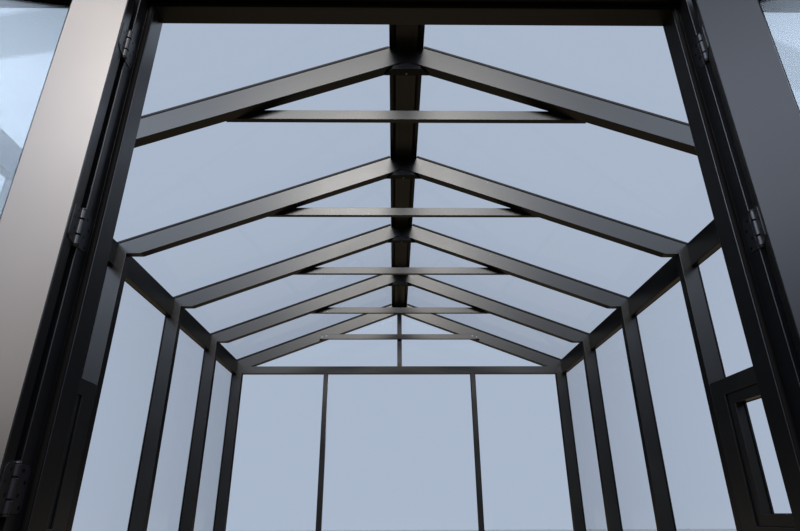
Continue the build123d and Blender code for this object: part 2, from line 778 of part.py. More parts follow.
def leaf_edge_plane(distance):
    """Upright plane square to the right leaf: x towards its inner face, y down."""
    leaf = leaf_plane()
    return Plane(origin=leaf.origin + leaf.x_dir * distance, x_dir=leaf.z_dir, z_dir=leaf.x_dir)


# Hinges: three knuckles on one pin, the middle one on the leaf
TOP_HINGE = LEAF_TOP - HINGE_TOP_MARGIN
HINGE_SPACING = (TOP_HINGE - LEAF_BOTTOM - HINGE_FOOT_MARGIN) / (HINGE_COUNT - 1)
HINGE_LEVELS = [TOP_HINGE - HINGE_SPACING * k for k in range(HINGE_COUNT)]
POST_KNUCKLE = (HINGE_HEIGHT - LEAF_KNUCKLE) / 2


def barrel(low, high, radius, mode=Mode.ADD):
    """A round length on the right leaf's hinge axis."""
    with BuildSketch(Plane.XY.offset(low)) as disc:
        with Locations((AXIS_X, AXIS_Y)):
            Circle(radius)
    extrude(disc.sketch, amount=high - low, mode=mode)


def hinge_plates(plane, start, up):
    """Screwed plates of one hinge half, the two corners away from the knuckles cut off."""
    with BuildSketch(plane) as plates:
        for level in HINGE_LEVELS:
            with Locations((start + HINGE_PLATE_WIDTH / 2, up * level)):
                Rectangle(HINGE_PLATE_WIDTH, HINGE_HEIGHT)
        chamfer(plates.vertices().group_by(Axis.X)[-1], HINGE_PLATE_CHAMFER)
    extrude(plates.sketch, amount=HINGE_PLATE_T)


with BuildPart() as hinge_posts:
    hinge_plates(Plane.YZ.offset(REVEAL_HALF - HINGE_PLATE_T), 0, 1)
    for level in HINGE_LEVELS:
        base = level - HINGE_HEIGHT / 2
        for low in (base, level + LEAF_KNUCKLE / 2):
            high = low + POST_KNUCKLE
            box((REVEAL_HALF - HINGE_PLATE_T, AXIS_Y, low), (REVEAL_HALF, 0, high))
            barrel(low, high, KNUCKLE_R)
        barrel(base, base + HINGE_HEIGHT, PIN_R)
    mirror(about=Plane.YZ)
save(hinge_posts, "hinge_halves_on_posts")

with BuildPart() as hinge_leaf:
    edge = leaf_edge_plane(LEAF_START - HINGE_PLATE_T)
    hinge_plates(edge, KNUCKLE_R, -1)
    for level in HINGE_LEVELS:
        low = level - LEAF_KNUCKLE / 2 + KNUCKLE_PLAY
        high = level + LEAF_KNUCKLE / 2 - KNUCKLE_PLAY
        with BuildSketch(edge):
            patch((0, -high), (KNUCKLE_R, -low))
        extrude(amount=HINGE_PLATE_T)
        barrel(low, high, KNUCKLE_R)
        base = level - HINGE_HEIGHT / 2
        barrel(base, base + HINGE_HEIGHT, PIN_R + PIN_PLAY, mode=Mode.SUBTRACT)
save(hinge_leaf, "hinge_halves_right")
save_left_leaf(hinge_leaf, "hinge_halves_left")

# Lever handles of the right leaf, one on each face
with BuildPart() as handles:
    middle = LEAF_END - STILE_WIDTH / 2
    for depth, way in ((KNUCKLE_R, -1), (KNUCKLE_R + LEAF_T, 1)):
        with BuildSketch(leaf_plane(depth)):
            with Locations((middle, HANDLE_LEVEL)):
                RectangleRounded(HANDLE_PLATE_WIDTH, HANDLE_PLATE_HEIGHT, HANDLE_PLATE_WIDTH / 3)
        extrude(amount=way * HANDLE_PLATE_T)
        neck = HANDLE_LEVEL + HANDLE_PLATE_HEIGHT / 4
        with BuildSketch(leaf_plane(depth + way * HANDLE_PLATE_T)):
            with Locations((middle, neck)):
                Circle(LEVER_R)
        extrude(amount=way * LEVER_NECK)
        with BuildSketch(leaf_plane(depth + way * (HANDLE_PLATE_T + LEVER_NECK - 2 * LEVER_R))):
            with Locations((middle - LEVER_LENGTH / 2, neck)):
                SlotOverall(LEVER_LENGTH + 2 * LEVER_R, 2 * LEVER_R)
        extrude(amount=way * 2 * LEVER_R)
save(handles, "door_handles")
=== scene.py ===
"""Looks of a glazed garden greenhouse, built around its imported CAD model.

Metres, in the CAD frame: X across the gable, Y from the front gable to the back one, Z up from the
ground. Finishes go onto the CAD pieces, and the small hardware, seals and screws are made here.
"""

import logging
import math
from dataclasses import dataclass
from enum import Enum

import bmesh
import bpy
from bmesh.types import BMEdge, BMesh, BMFace, BMVert
from bpy.types import Material, Node, NodeSocket, NodeTree, Object
from mathutils import Matrix, Vector


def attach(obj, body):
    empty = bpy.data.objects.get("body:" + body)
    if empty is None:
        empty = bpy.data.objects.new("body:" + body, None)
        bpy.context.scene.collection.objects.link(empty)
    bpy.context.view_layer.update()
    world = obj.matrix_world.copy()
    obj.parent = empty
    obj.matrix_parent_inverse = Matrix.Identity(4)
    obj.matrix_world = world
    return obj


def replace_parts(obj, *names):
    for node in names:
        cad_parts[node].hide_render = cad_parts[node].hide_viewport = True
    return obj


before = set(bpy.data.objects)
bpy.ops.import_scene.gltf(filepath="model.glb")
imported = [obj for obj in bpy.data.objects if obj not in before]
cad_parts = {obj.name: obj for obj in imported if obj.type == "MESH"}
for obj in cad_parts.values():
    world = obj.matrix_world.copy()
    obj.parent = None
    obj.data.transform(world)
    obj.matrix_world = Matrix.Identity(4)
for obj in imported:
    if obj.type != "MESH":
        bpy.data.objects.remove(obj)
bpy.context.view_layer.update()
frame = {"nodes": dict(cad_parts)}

log = logging.getLogger("greenhouse")

IMAGE_SIZE = (800, 531)
MM = 0.001
SHARP_DEGREES = 38.0  # edges that turn more than this stay sharp
SMALL_HEAD = 10  # segments round a small screw head

Pair = tuple[float, float]
Outline = tuple[Pair, ...]
Triple = tuple[float, float, float]


class Body(Enum):
    """The moving bodies of the greenhouse."""

    HOUSE = "house"
    LEFT_LEAF = "left_door"
    RIGHT_LEAF = "right_door"


class Slot(Enum):
    """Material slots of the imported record."""

    FRAME = "frame_metal"
    LEAF = "door_metal"
    HINGE = "hinge_metal"
    HANDLE = "handle_steel"
    RUBBER = "gasket_rubber"
    GLASS = "clear_glass"


# ---------------------------------------------------------------- finishes


def linear(code: str) -> tuple[float, float, float, float]:
    """Turn an sRGB hex colour into linear light.

    Args:
        code: Six hex digits with a leading hash.

    Returns:
        Linear red, green and blue, and an alpha of 1.
    """
    parts = [int(code[i:i + 2], 16) / 255 for i in (1, 3, 5)]
    levels = [p / 12.92 if p <= 0.04045 else ((p + 0.055) / 1.055) ** 2.4 for p in parts]
    return (*levels, 1.0)


def add_node(tree: NodeTree, kind: str, links: dict | None = None, **settings: object) -> Node:
    """Add one node with its settings and what feeds it.

    Args:
        tree: Node tree of the material.
        kind: Blender's name of the node type.
        links: Output sockets by the name or number of the input that they feed.
        settings: Properties of the node, and under "inputs" the values of its input sockets.

    Returns:
        The new node.
    """
    node = tree.nodes.new(kind)
    inputs = settings.pop("inputs", {})
    for name, value in settings.items():
        setattr(node, name, value)
    for name, value in inputs.items():
        node.inputs[name].default_value = value
    for name, socket in (links or {}).items():
        tree.links.new(socket, node.inputs[name])
    return node


class Recipe:
    """A material in the making: its node tree, and steps that several finishes share."""

    def __init__(self, name: str) -> None:
        """Start with the plain shader.

        Args:
            name: Of the material.
        """
        self.made = bpy.data.materials.new(name)
        self.made.use_nodes = True
        self.tree = self.made.node_tree
        self.shader = self.tree.nodes["Principled BSDF"]

    def set(self, **values: float | tuple) -> None:
        """Give the shader's own sockets their constants, by name with _ for a space."""
        for name, value in values.items():
            self.shader.inputs[name.replace("_", " ")].default_value = value

    def place(self) -> NodeSocket:
        """Coordinates that stay with the object."""
        return add_node(self.tree, "ShaderNodeTexCoord").outputs["Object"]

    def noise(
        self, crest_mm: float, detail: float, roughness: float = 0.5,
        place: NodeSocket | None = None,
    ) -> NodeSocket:
        """Lay noise of a real size over the object.

        Args:
            crest_mm: From crest to crest, in millimetres.
            detail: Octaves.
            roughness: How strong the finer octaves are.
            place: Coordinates, or none for the object's own.

        Returns:
            Socket with the noise, from 0 to 1.
        """
        return add_node(
            self.tree, "ShaderNodeTexNoise", {"Vector": place or self.place()},
            inputs={"Scale": 1 / (crest_mm * MM), "Detail": detail, "Roughness": roughness},
        ).outputs["Fac"]

    def spread(self, share: NodeSocket, span: Pair, ends: Pair = (0.0, 1.0)) -> NodeSocket:
        """Map a part of the noise onto a range of values.

        Args:
            share: Socket with the noise.
            span: Part of the noise that is used.
            ends: Values below and above that part.

        Returns:
            Socket with the value.
        """
        return add_node(
            self.tree, "ShaderNodeMapRange", {"Value": share},
            inputs={"From Min": span[0], "From Max": span[1], "To Min": ends[0], "To Max": ends[1]},
        ).outputs["Result"]

    def two_tone(self, share: NodeSocket, tones: tuple[str, str]) -> None:
        """Colour the shader with a blend of two tones.

        Args:
            share: Socket with how much of the second tone there is.
            tones: Both as sRGB hex colours.
        """
        blend = add_node(
            self.tree, "ShaderNodeMix", {"Factor": share}, data_type="RGBA",
            inputs={"A": linear(tones[0]), "B": linear(tones[1])},
        )
        self.feed("Base Color", blend.outputs["Result"])

    def feed(self, name: str, value: NodeSocket) -> None:
        """Feed one of the shader's sockets."""
        self.tree.links.new(value, self.shader.inputs[name])

    def bump(self, height: NodeSocket, strength: float, depth_mm: float) -> None:
        """Raise the surface by the noise.

        Args:
            height: Socket with the noise.
            strength: How much of the bump shows.
            depth_mm: From trough to crest, in millimetres.
        """
        node = add_node(
            self.tree, "ShaderNodeBump", {"Height": height},
            inputs={"Strength": strength, "Distance": depth_mm * MM},
        )
        self.feed("Normal", node.outputs["Normal"])


@dataclass(frozen=True)
class PowderCoat:
    """Aluminium extrusion with a baked polyester powder coat.

    The melt flows out to a satin skin with a faint orange peel, so it mirrors the sky softly: pale
    where it faces a bright sky, near black underneath.
    """

    name: str
    colour: str = "#0c0d0f"
    pale: str = "#131416"
    roughness: float = 0.3
    peel_mm: float = 2.5  # from crest to crest of the orange peel
    peel_strength: float = 0.05
    peel_depth_mm: float = 0.2
    dust: float = 0.06  # how much roughness the dust film adds
    specular: float = 0.5
    film_mm: float = 590.0  # from patch to patch of the dust film

    def material(self) -> Material:
        """Build the node tree.

        Returns:
            The material.
        """
        recipe = Recipe(self.name)
        film = recipe.noise(self.film_mm, 4.0, 0.6)
        recipe.two_tone(recipe.spread(film, (0.35, 0.7)), (self.colour, self.pale))
        dusty = self.roughness + self.dust
        recipe.feed("Roughness", recipe.spread(film, (0.3, 0.7), (self.roughness, dusty)))
        recipe.bump(recipe.noise(self.peel_mm, 1.0), self.peel_strength, self.peel_depth_mm)
        recipe.set(IOR=1.5, Specular_IOR_Level=self.specular)
        return recipe.made


@dataclass(frozen=True)
class StainlessSteel:
    """Satin-brushed stainless steel of the lever handles: fine lines along the grain."""

    name: str = "brushed_stainless_steel"
    colour: str = "#c4c3c0"
    roughness: Pair = (0.20, 0.36)
    grain_mm: float = 0.8  # drawn coarser than the real 0.1 mm so that it shows
    grain_stretch: Triple = (1.0, 1.0, 0.04)
    line_strength: float = 0.08
    line_depth_mm: float = 0.1

    def material(self) -> Material:
        """Build the node tree.

        Returns:
            The material.
        """
        recipe = Recipe(self.name)
        recipe.set(Base_Color=linear(self.colour), Metallic=1.0)
        drawn = add_node(
            recipe.tree, "ShaderNodeMapping", {"Vector": recipe.place()},
            inputs={"Scale": self.grain_stretch},
        )
        grain = recipe.noise(self.grain_mm, 2.0, place=drawn.outputs["Vector"])
        recipe.feed("Roughness", recipe.spread(grain, (0.0, 1.0), self.roughness))
        recipe.bump(grain, self.line_strength, self.line_depth_mm)
        return recipe.made


@dataclass(frozen=True)
class SealRubber:
    """Extruded EPDM rubber of the glazing seals: black, dull, a little chalky with age."""

    name: str = "epdm_rubber"
    colour: str = "#040405"
    chalk: str = "#0b0b0c"
    roughness: float = 0.62
    specular: float = 0.05
    bloom_mm: float = 110.0  # from patch to patch of the chalky bloom

    def material(self) -> Material:
        """Build the node tree.

        Returns:
            The material.
        """
        recipe = Recipe(self.name)
        recipe.two_tone(recipe.noise(self.bloom_mm, 5.0), (self.colour, self.chalk))
        recipe.set(Roughness=self.roughness, Specular_IOR_Level=self.specular)
        return recipe.made


@dataclass(frozen=True)
class FloatGlass:
    """Clear toughened float glass, 4 mm: it lets nearly all light through, a trace less of the red.

    A pane this thin bends nothing that can be seen, so light goes straight through, and each face
    mirrors by Schlick's rule: 4% square on and all of it at a glancing angle.
    """

    name: str = "toughened_float_glass"
    tint: str = "#fafcfc"
    square_on: float = 0.04
    mirror: str = "#b4b8bb"  # haze and dust on the pane dull what it mirrors
    polish: float = 0.01

    def material(self) -> Material:
        """Build the node tree.

        Returns:
            The material.
        """
        recipe = Recipe(self.name)
        tree = recipe.tree
        tree.nodes.remove(recipe.shader)
        facing = add_node(tree, "ShaderNodeLayerWeight", inputs={"Blend": 0.5})
        rise = add_node(
            tree, "ShaderNodeMath", {0: facing.outputs["Facing"]}, operation="POWER",
            inputs={1: 5.0},
        )
        share = add_node(
            tree, "ShaderNodeMath", {0: rise.outputs[0]}, operation="MULTIPLY_ADD",
            inputs={1: 1 - self.square_on, 2: self.square_on},
        )
        through = add_node(tree, "ShaderNodeBsdfTransparent", inputs={"Color": linear(self.tint)})
        mirror = add_node(
            tree, "ShaderNodeBsdfGlossy",
            inputs={"Color": linear(self.mirror), "Roughness": self.polish},
        )
        mix = add_node(
            tree, "ShaderNodeMixShader",
            {0: share.outputs[0], 1: through.outputs[0], 2: mirror.outputs[0]},
        )
        tree.links.new(mix.outputs[0], tree.nodes["Material Output"].inputs["Surface"])
        return recipe.made


@dataclass(frozen=True)
class StudioPaper:
    """Matt uncoated paper of the studio floor, with the faint cloudiness of its pulp."""

    name: str = "uncoated_studio_paper"
    colour: str = "#a3a4a4"
    pale: str = "#adaead"
    roughness: float = 0.9
    cloud_mm: float = 300.0  # from cloud to cloud of the pulp

    def material(self) -> Material:
        """Build the node tree.

        Returns:
            The material.
        """
        recipe = Recipe(self.name)
        recipe.two_tone(recipe.noise(self.cloud_mm, 3.0), (self.colour, self.pale))
        recipe.set(Roughness=self.roughness)
        return recipe.made


@dataclass(frozen=True)
class PlatedSteel:
    """Bright small hardware: a thin metal skin with cloudy patches where it was handled."""

    name: str
    colour: str
    roughness: float
    patch_mm: float = 2.5  # from patch to patch of the skin
    polish: float = 0.08  # how much smoother the bright patches are
    wear: float = 0.12  # how much rougher the handled ones are

    def material(self) -> Material:
        """Build the node tree.

        Returns:
            The material.
        """
        recipe = Recipe(self.name)
        recipe.set(Base_Color=linear(self.colour), Metallic=1.0)
        ends = (self.roughness - self.polish, self.roughness + self.wear)
        recipe.feed("Roughness", recipe.spread(recipe.noise(self.patch_mm, 3.0), (0.0, 1.0), ends))
        return recipe.made


class Metal(Enum):
    """Bright metals of the screws and small fittings."""

    ZINC = PlatedSteel("zinc_plated_steel", "#93969b", 0.4).material()
    STEEL = PlatedSteel("turned_stainless_steel", "#c9c8c4", 0.28).material()
    BLACK = PlatedSteel("black_zinc_plated_steel", "#1c1d20", 0.4).material()


FINISHES = {
    Slot.FRAME: PowderCoat("satin_powder_coat").material(),
    Slot.LEAF: PowderCoat("satin_powder_coat_leaf").material(),
    Slot.HINGE: PowderCoat("painted_hinge_steel", "#131418", "#1a1c20").material(),
    Slot.HANDLE: StainlessSteel().material(),
    Slot.RUBBER: SealRubber().material(),
    Slot.GLASS: FloatGlass().material(),
}

# Caps and apex plates get a matt, fine-grained, darker copy of the powder coat: the matt grain is
# the coat's own, and the darker colour is painted shade that stands in for the deep shade on the
# apex plates
SHADED_MATT_COAT = PowderCoat(
    "matt_powder_coat_painted_shade", "#090a0c", "#0f1012", roughness=0.55, peel_mm=1.5, specular=0.25,
).material()
SHADED_MATT_PIECES = ("roof_caps", "ridge_cap", "apex_plates")


# ---------------------------------------------------------------- shapes


def stand(
    place: Triple | Vector, facing: Triple | Vector, up: Triple | Vector = (0, 0, 1)
) -> Matrix:
    """Find the transform that sets a shape on a face.

    Args:
        place: Where the shape's own origin goes.
        facing: Which way its own Z points.
        up: Which way its own Y points, as near as it can.

    Returns:
        Matrix from the shape's own axes to the CAD frame.
    """
    z = Vector(facing).normalized()
    x = Vector(up).cross(z).normalized()
    turn = Matrix((x, z.cross(x), z)).transposed().to_4x4()
    return Matrix.Translation(place) @ turn


def bevel(shape: BMesh, edges: list[BMEdge], offset: float, segments: int) -> None:
    """Take off some edges of a shape.

    Args:
        shape: To work on.
        edges: To take off.
        offset: Width of the bevel.
        segments: 1 for a chamfer, more for a round.
    """
    bmesh.ops.bevel(
        shape, geom=edges, offset=offset, offset_type="OFFSET", segments=segments, profile=0.5,
        affect="EDGES", material=-1,
    )


def extrude(shape: BMesh, faces: list[BMFace], by: Triple) -> list[BMFace]:
    """Extrude faces and move what is made.

    Args:
        shape: To work on.
        faces: To extrude.
        by: How far they move.

    Returns:
        The moved faces.
    """
    made = bmesh.ops.extrude_face_region(shape, geom=faces)["geom"]
    points = [v for v in made if isinstance(v, BMVert)]
    bmesh.ops.translate(shape, vec=by, verts=points)
    return [f for f in made if isinstance(f, BMFace)]


def front_edges(shape: BMesh, thick: float) -> list[BMEdge]:
    """Edges that lie in the front face of a shape of this thickness."""
    return [e for e in shape.edges if all(v.co.z > thick * 0.99 for v in e.verts)]


def screw_shape(radius: float, height: float, segments: int = 12) -> BMesh:
    """Make a low domed screw head with a round socket.

    Args:
        radius: Of the head.
        height: Of the head above its seat.
        segments: Round the head.

    Returns:
        The shape, seated on its own origin.
    """
    dome, rim, wall = height * 0.7, radius * 0.35, radius * 0.05
    shape = bmesh.new()
    disc = bmesh.ops.create_circle(shape, cap_ends=True, segments=segments, radius=radius)
    crown = extrude(shape, [disc["verts"][0].link_faces[0]], (0, 0, height))[0]
    bevel(shape, list(crown.edges), dome, 2)
    crown = max(shape.faces, key=lambda f: (round(f.calc_center_median().z, 6), f.calc_area()))
    bmesh.ops.inset_individual(shape, faces=[crown], thickness=rim, depth=0.0)
    bmesh.ops.inset_individual(shape, faces=[crown], thickness=wall, depth=-dome)
    return shape


@dataclass(frozen=True)
class Plate:
    """A flat plate with softened corners, from its own origin along its own Z."""

    width: float
    height: float
    thick: float
    corner: float  # taken off the corners
    arris: float  # taken off round the front face
    cut: bool = False  # straight, and only off the two corners on its own +X side

    def shape(self) -> BMesh:
        """Make the plate.

        Returns:
            The shape, seated on its own origin.
        """
        shape = bmesh.new()
        bmesh.ops.create_cube(shape, size=1.0)
        bmesh.ops.scale(shape, vec=(self.width, self.height, self.thick), verts=shape.verts)
        bmesh.ops.translate(shape, vec=(0, 0, self.thick / 2), verts=shape.verts)
        upright = [
            e for e in shape.edges
            if abs(e.verts[0].co.z - e.verts[1].co.z) > self.thick / 2
            and (not self.cut or min(v.co.x for v in e.verts) > 0)
        ]
        bevel(shape, upright, self.corner, 1 if self.cut else 4)
        bevel(shape, front_edges(shape, self.thick), self.arris, 1 if self.cut else 2)
        return shape


def ring_shape(width: float, height: float, bar: float, thick: float) -> BMesh:
    """Make a rectangular ring of bar with its front arrises taken off, such as a seal.

    Args:
        width: Outside, along its own X.
        height: Outside, along its own Y.
        bar: Width of the bar all round.
        thick: Along its own Z, from its own origin.

    Returns:
        The shape, seated on its own origin.
    """
    shape = bmesh.new()
    bmesh.ops.create_grid(shape, x_segments=1, y_segments=1, size=0.5)
    bmesh.ops.scale(shape, vec=(width, height, 1.0), verts=shape.verts)
    middle = shape.faces[:][0]
    bmesh.ops.inset_individual(shape, faces=[middle], thickness=bar, depth=0.0)
    bmesh.ops.delete(shape, geom=[middle], context="FACES")
    extrude(shape, shape.faces[:], (0, 0, thick))
    level = [
        e for e in front_edges(shape, thick)
        if min(abs(e.verts[0].co[k] - e.verts[1].co[k]) for k in (0, 1)) < 1e-9
    ]
    bevel(shape, level, min(bar, thick) * 0.3, 1)
    return shape


def seal_shape(length: float, width: float, depth: float) -> BMesh:
    """Make a straight length of half-round bulb seal along its own Y.

    Args:
        length: Along its own Y, from its own origin both ways.
        width: Of its flat back.
        depth: How far the bulb stands out along its own Z.

    Returns:
        The shape, its flat back on its own origin.
    """
    shape = bmesh.new()
    bmesh.ops.create_circle(shape, cap_ends=True, segments=16, radius=0.5)
    bmesh.ops.bisect_plane(
        shape, geom=shape.verts[:] + shape.edges[:] + shape.faces[:], plane_co=(0, 0, 0),
        plane_no=(0, 1, 0), clear_inner=True,
    )
    bmesh.ops.scale(shape, vec=(width, 2 * depth, 1.0), verts=shape.verts)
    bmesh.ops.rotate(shape, matrix=Matrix.Rotation(math.pi / 2, 3, "X"), verts=shape.verts)
    bmesh.ops.translate(shape, vec=(0, length / 2, 0), verts=shape.verts)
    extrude(shape, shape.faces[:], (0, -length, 0))
    return shape


def turned_shape(outline: Outline, steps: int = 24) -> BMesh:
    """Turn an outline round its own Z, as on a lathe.

    Args:
        outline: Radius and height of each point from foot to top.
        steps: Round the axis.

    Returns:
        The shape, centred on its own Z.
    """
    shape = bmesh.new()
    last = bmesh.ops.create_vert(shape, co=(outline[0][0], 0, outline[0][1]))["vert"][0]
    for radius, height in outline[1:]:
        new = bmesh.ops.extrude_vert_indiv(shape, verts=[last])["verts"][0]
        new.co = (radius, 0, height)
        last = new
    bmesh.ops.spin(
        shape, geom=shape.verts[:] + shape.edges[:], cent=(0, 0, 0), axis=(0, 0, 1),
        dvec=(0, 0, 0), angle=2 * math.pi, steps=steps, use_merge=True,
    )
    bmesh.ops.remove_doubles(shape, verts=shape.verts, dist=1e-6)
    return shape


class Piece:
    """One added object: copies of shapes gathered in place, bound to the body it moves with."""

    def __init__(self, name: str, body: Body, finish: Material) -> None:
        """Start an empty piece.

        Args:
            name: Of the finished object.
            body: The body that it rides on.
            finish: Material of the whole piece.
        """
        self.name = name
        self.body = body
        self.finish = finish
        self.gathered = bmesh.new()

    def put(self, shape: BMesh, *places: Matrix) -> None:
        """Copy a shape to each place, and let go of the shape.

        Args:
            shape: Made on its own origin.
            places: Transforms from the shape's own axes to the CAD frame.
        """
        bmesh.ops.recalc_face_normals(shape, faces=shape.faces)
        for place in places:
            copy = bpy.data.meshes.new("copy")
            shape.to_mesh(copy)
            copy.transform(place)
            self.gathered.from_mesh(copy)
            bpy.data.meshes.remove(copy)
        shape.free()

    def close(self) -> Object:
        """Turn the gathered shapes into the finished object.

        Returns:
            The object, at the origin, with its place in its mesh.
        """
        data = bpy.data.meshes.new(self.name)
        self.gathered.to_mesh(data)
        self.gathered.free()
        data.materials.append(self.finish)
        data.shade_smooth()
        data.set_sharp_from_angle(angle=math.radians(SHARP_DEGREES))
        piece = bpy.data.objects.new(self.name, data)
        bpy.context.scene.collection.objects.link(piece)
        flat = piece.modifiers.new("flat_faces_stay_flat", "WEIGHTED_NORMAL")
        flat.keep_sharp = True
        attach(piece, self.body.value)
        log.info("%s: %d faces on %s", self.name, len(data.polygons), self.body.value)
        return piece


# ---------------------------------------------------------------- fittings of the house


@dataclass(frozen=True)
class House:
    """Sizes of the CAD model that the fittings go by, in metres."""

    bay: float = 0.87
    bays: int = 5
    frame: float = 0.05  # thickness of every portal frame
    slope: float = math.tan(math.radians(21.0))
    apex_under: float = 2.6516  # rafters' underside in the middle
    apex_top: float = 2.7587  # rafters' upper face in the middle
    outer_half: float = 1.631
    collar_drop: float = 0.266
    collar_thick: float = 0.025
    reveal_half: float = 0.733
    stop_half: float = 0.716
    reveal_depth: float = 0.042
    head_bottom: float = 2.04
    sill: float = 0.025  # top of the threshold
    glass_out: float = 0.010  # glazing in front of the metal

    def frames(self) -> list[float]:
        """Front face of every portal frame along the house."""
        return [self.bay * k for k in range(self.bays + 1)]


@dataclass(frozen=True)
class ScrewSet:
    """Screws of one kind on the house, gathered in one piece."""

    house: House
    name: str
    metal: Metal
    head: tuple[float, float, int]  # radius, height and segments round

    def places(self) -> list[Matrix]:
        """Where the screws stand."""
        raise NotImplementedError

    def build(self) -> None:
        """Make them all."""
        screws = Piece(self.name, Body.HOUSE, self.metal.value)
        screws.put(screw_shape(*self.head), *self.places())
        screws.close()


@dataclass(frozen=True)
class FrameScrews(ScrewSet):
    """Zinc-plated screws that hold collar ties and apex plates."""

    name: str = "frame_screws"
    metal: Metal = Metal.ZINC
    head: tuple[float, float, int] = (0.0055, 0.0028, 12)
    spread: float = 0.022  # of a pair, each side of the middle of the lap
    stagger: float = 0.006  # of a pair, up and down
    lap: float = 0.754  # middle of a lap from the middle of the house
    plate_drop: float = 0.0422  # apex plate's underside below the apex
    plate_back: float = 0.034  # its screw behind the frame's front face

    def places(self) -> list[Matrix]:
        """Find the screws at both ends of all ties, and the one up through each apex plate.

        Returns:
            Their places.
        """
        house, frames = self.house, self.house.frames()
        found = []
        for y in frames[:-1]:
            found += self.pairs(y + house.frame + house.collar_thick, 1.0)
        found += self.pairs(frames[-1] - house.collar_thick, -1.0)
        low = house.apex_under - self.plate_drop
        return found + [
            stand((0, y + self.plate_back, low), (0, 0, -1), (0, 1, 0)) for y in frames[1:-1]
        ]

    def pairs(self, y: float, facing: float) -> list[Matrix]:
        """Find the screws of one tie, on its face away from the rafter.

        Args:
            y: Face that the heads stand on.
            facing: 1 or -1, the way along Y that the heads face.

        Returns:
            Places of its four screws.
        """
        level = self.house.apex_under - self.house.collar_drop
        return [
            stand(
                (side * (self.lap + step * self.spread), y, level - step * self.stagger),
                (0, facing, 0),
            )
            for side in (-1, 1) for step in (-1, 1)
        ]


@dataclass(frozen=True)
class CapScrews(ScrewSet):
    """Stainless button-head screws along the pressure caps outside."""

    name: str = "cap_screws"
    metal: Metal = Metal.STEEL
    head: tuple[float, float, int] = (0.0048, 0.0025, SMALL_HEAD)
    spacing: float = 0.3
    roof_cap: float = 0.021  # outer face of the roof caps above the rafters
    roof_start: float = 0.14  # first screw from the ridge
    roof_count: int = 6
    wall_cap: float = 0.015  # outer face of the wall caps in front of the posts
    wall_start: float = 0.16  # first screw from the ground
    wall_count: int = 7

    def places(self) -> list[Matrix]:
        """Find a row of screws down each rafter's cap and up each side post's cap.

        Returns:
            Their places.
        """
        house = self.house
        pitch, middles = math.atan(house.slope), [y + house.frame / 2 for y in house.frames()]
        found = []
        for side in (-1, 1):
            along = Vector((side * math.cos(pitch), 0, -math.sin(pitch)))
            normal = Vector((side * math.sin(pitch), 0, math.cos(pitch)))
            for y in middles:
                start = Vector((0, y, house.apex_top)) + normal * self.roof_cap
                found += [
                    stand(start + along * (self.roof_start + k * self.spacing), normal, (0, 1, 0))
                    for k in range(self.roof_count)
                ]
        out = house.outer_half + self.wall_cap
        return found + [
            stand((side * out, y, self.wall_start + k * self.spacing), (side, 0, 0))
            for side in (-1, 1) for y in middles for k in range(self.wall_count)
        ]


@dataclass(frozen=True)
class ThresholdScrews(ScrewSet):
    """Countersunk stainless screws down through the threshold, between its tread grooves."""

    name: str = "threshold_screws"
    metal: Metal = Metal.STEEL
    head: tuple[float, float, int] = (0.0042, 0.0008, 12)
    count: int = 5
    end: float = 0.06  # outermost screws from the door stops
    row: float = 0.0565  # from the front of the house

    def places(self) -> list[Matrix]:
        """Find one row of screws along the threshold.

        Returns:
            Their places.
        """
        half = self.house.stop_half - self.end
        step = 2 * half / (self.count - 1)
        return [
            stand((-half + step * k, self.row, self.house.sill), (0, 0, 1), (0, 1, 0))
            for k in range(self.count)
        ]


@dataclass(frozen=True)
class DoorStopSeals:
    """Black EPDM bulb seal on the face of the door stops, which the closed leaves press on."""

    house: House
    width: float = 0.015
    depth: float = 0.0045
    foot_gap: float = 0.002  # above the threshold
    head_lap: float = 0.004  # past the underside of the head

    def build(self) -> None:
        """Make the two upright lengths and the one under the head."""
        house = self.house
        seal = Piece("door_stop_seals", Body.HOUSE, FINISHES[Slot.RUBBER])
        middle = (house.stop_half + house.reveal_half) / 2
        low, high = house.sill + self.foot_gap, house.head_bottom + self.head_lap
        for side in (-1, 1):
            seal.put(
                seal_shape(high - low, self.width, self.depth),
                stand((side * middle, house.reveal_depth, (low + high) / 2), (0, -1, 0)),
            )
        over = house.head_bottom + (house.reveal_half - house.stop_half) / 2
        seal.put(
            seal_shape(2 * house.stop_half, self.width, self.depth),
            stand((0, house.reveal_depth, over), (0, -1, 0), (1, 0, 0)),
        )
        seal.close()


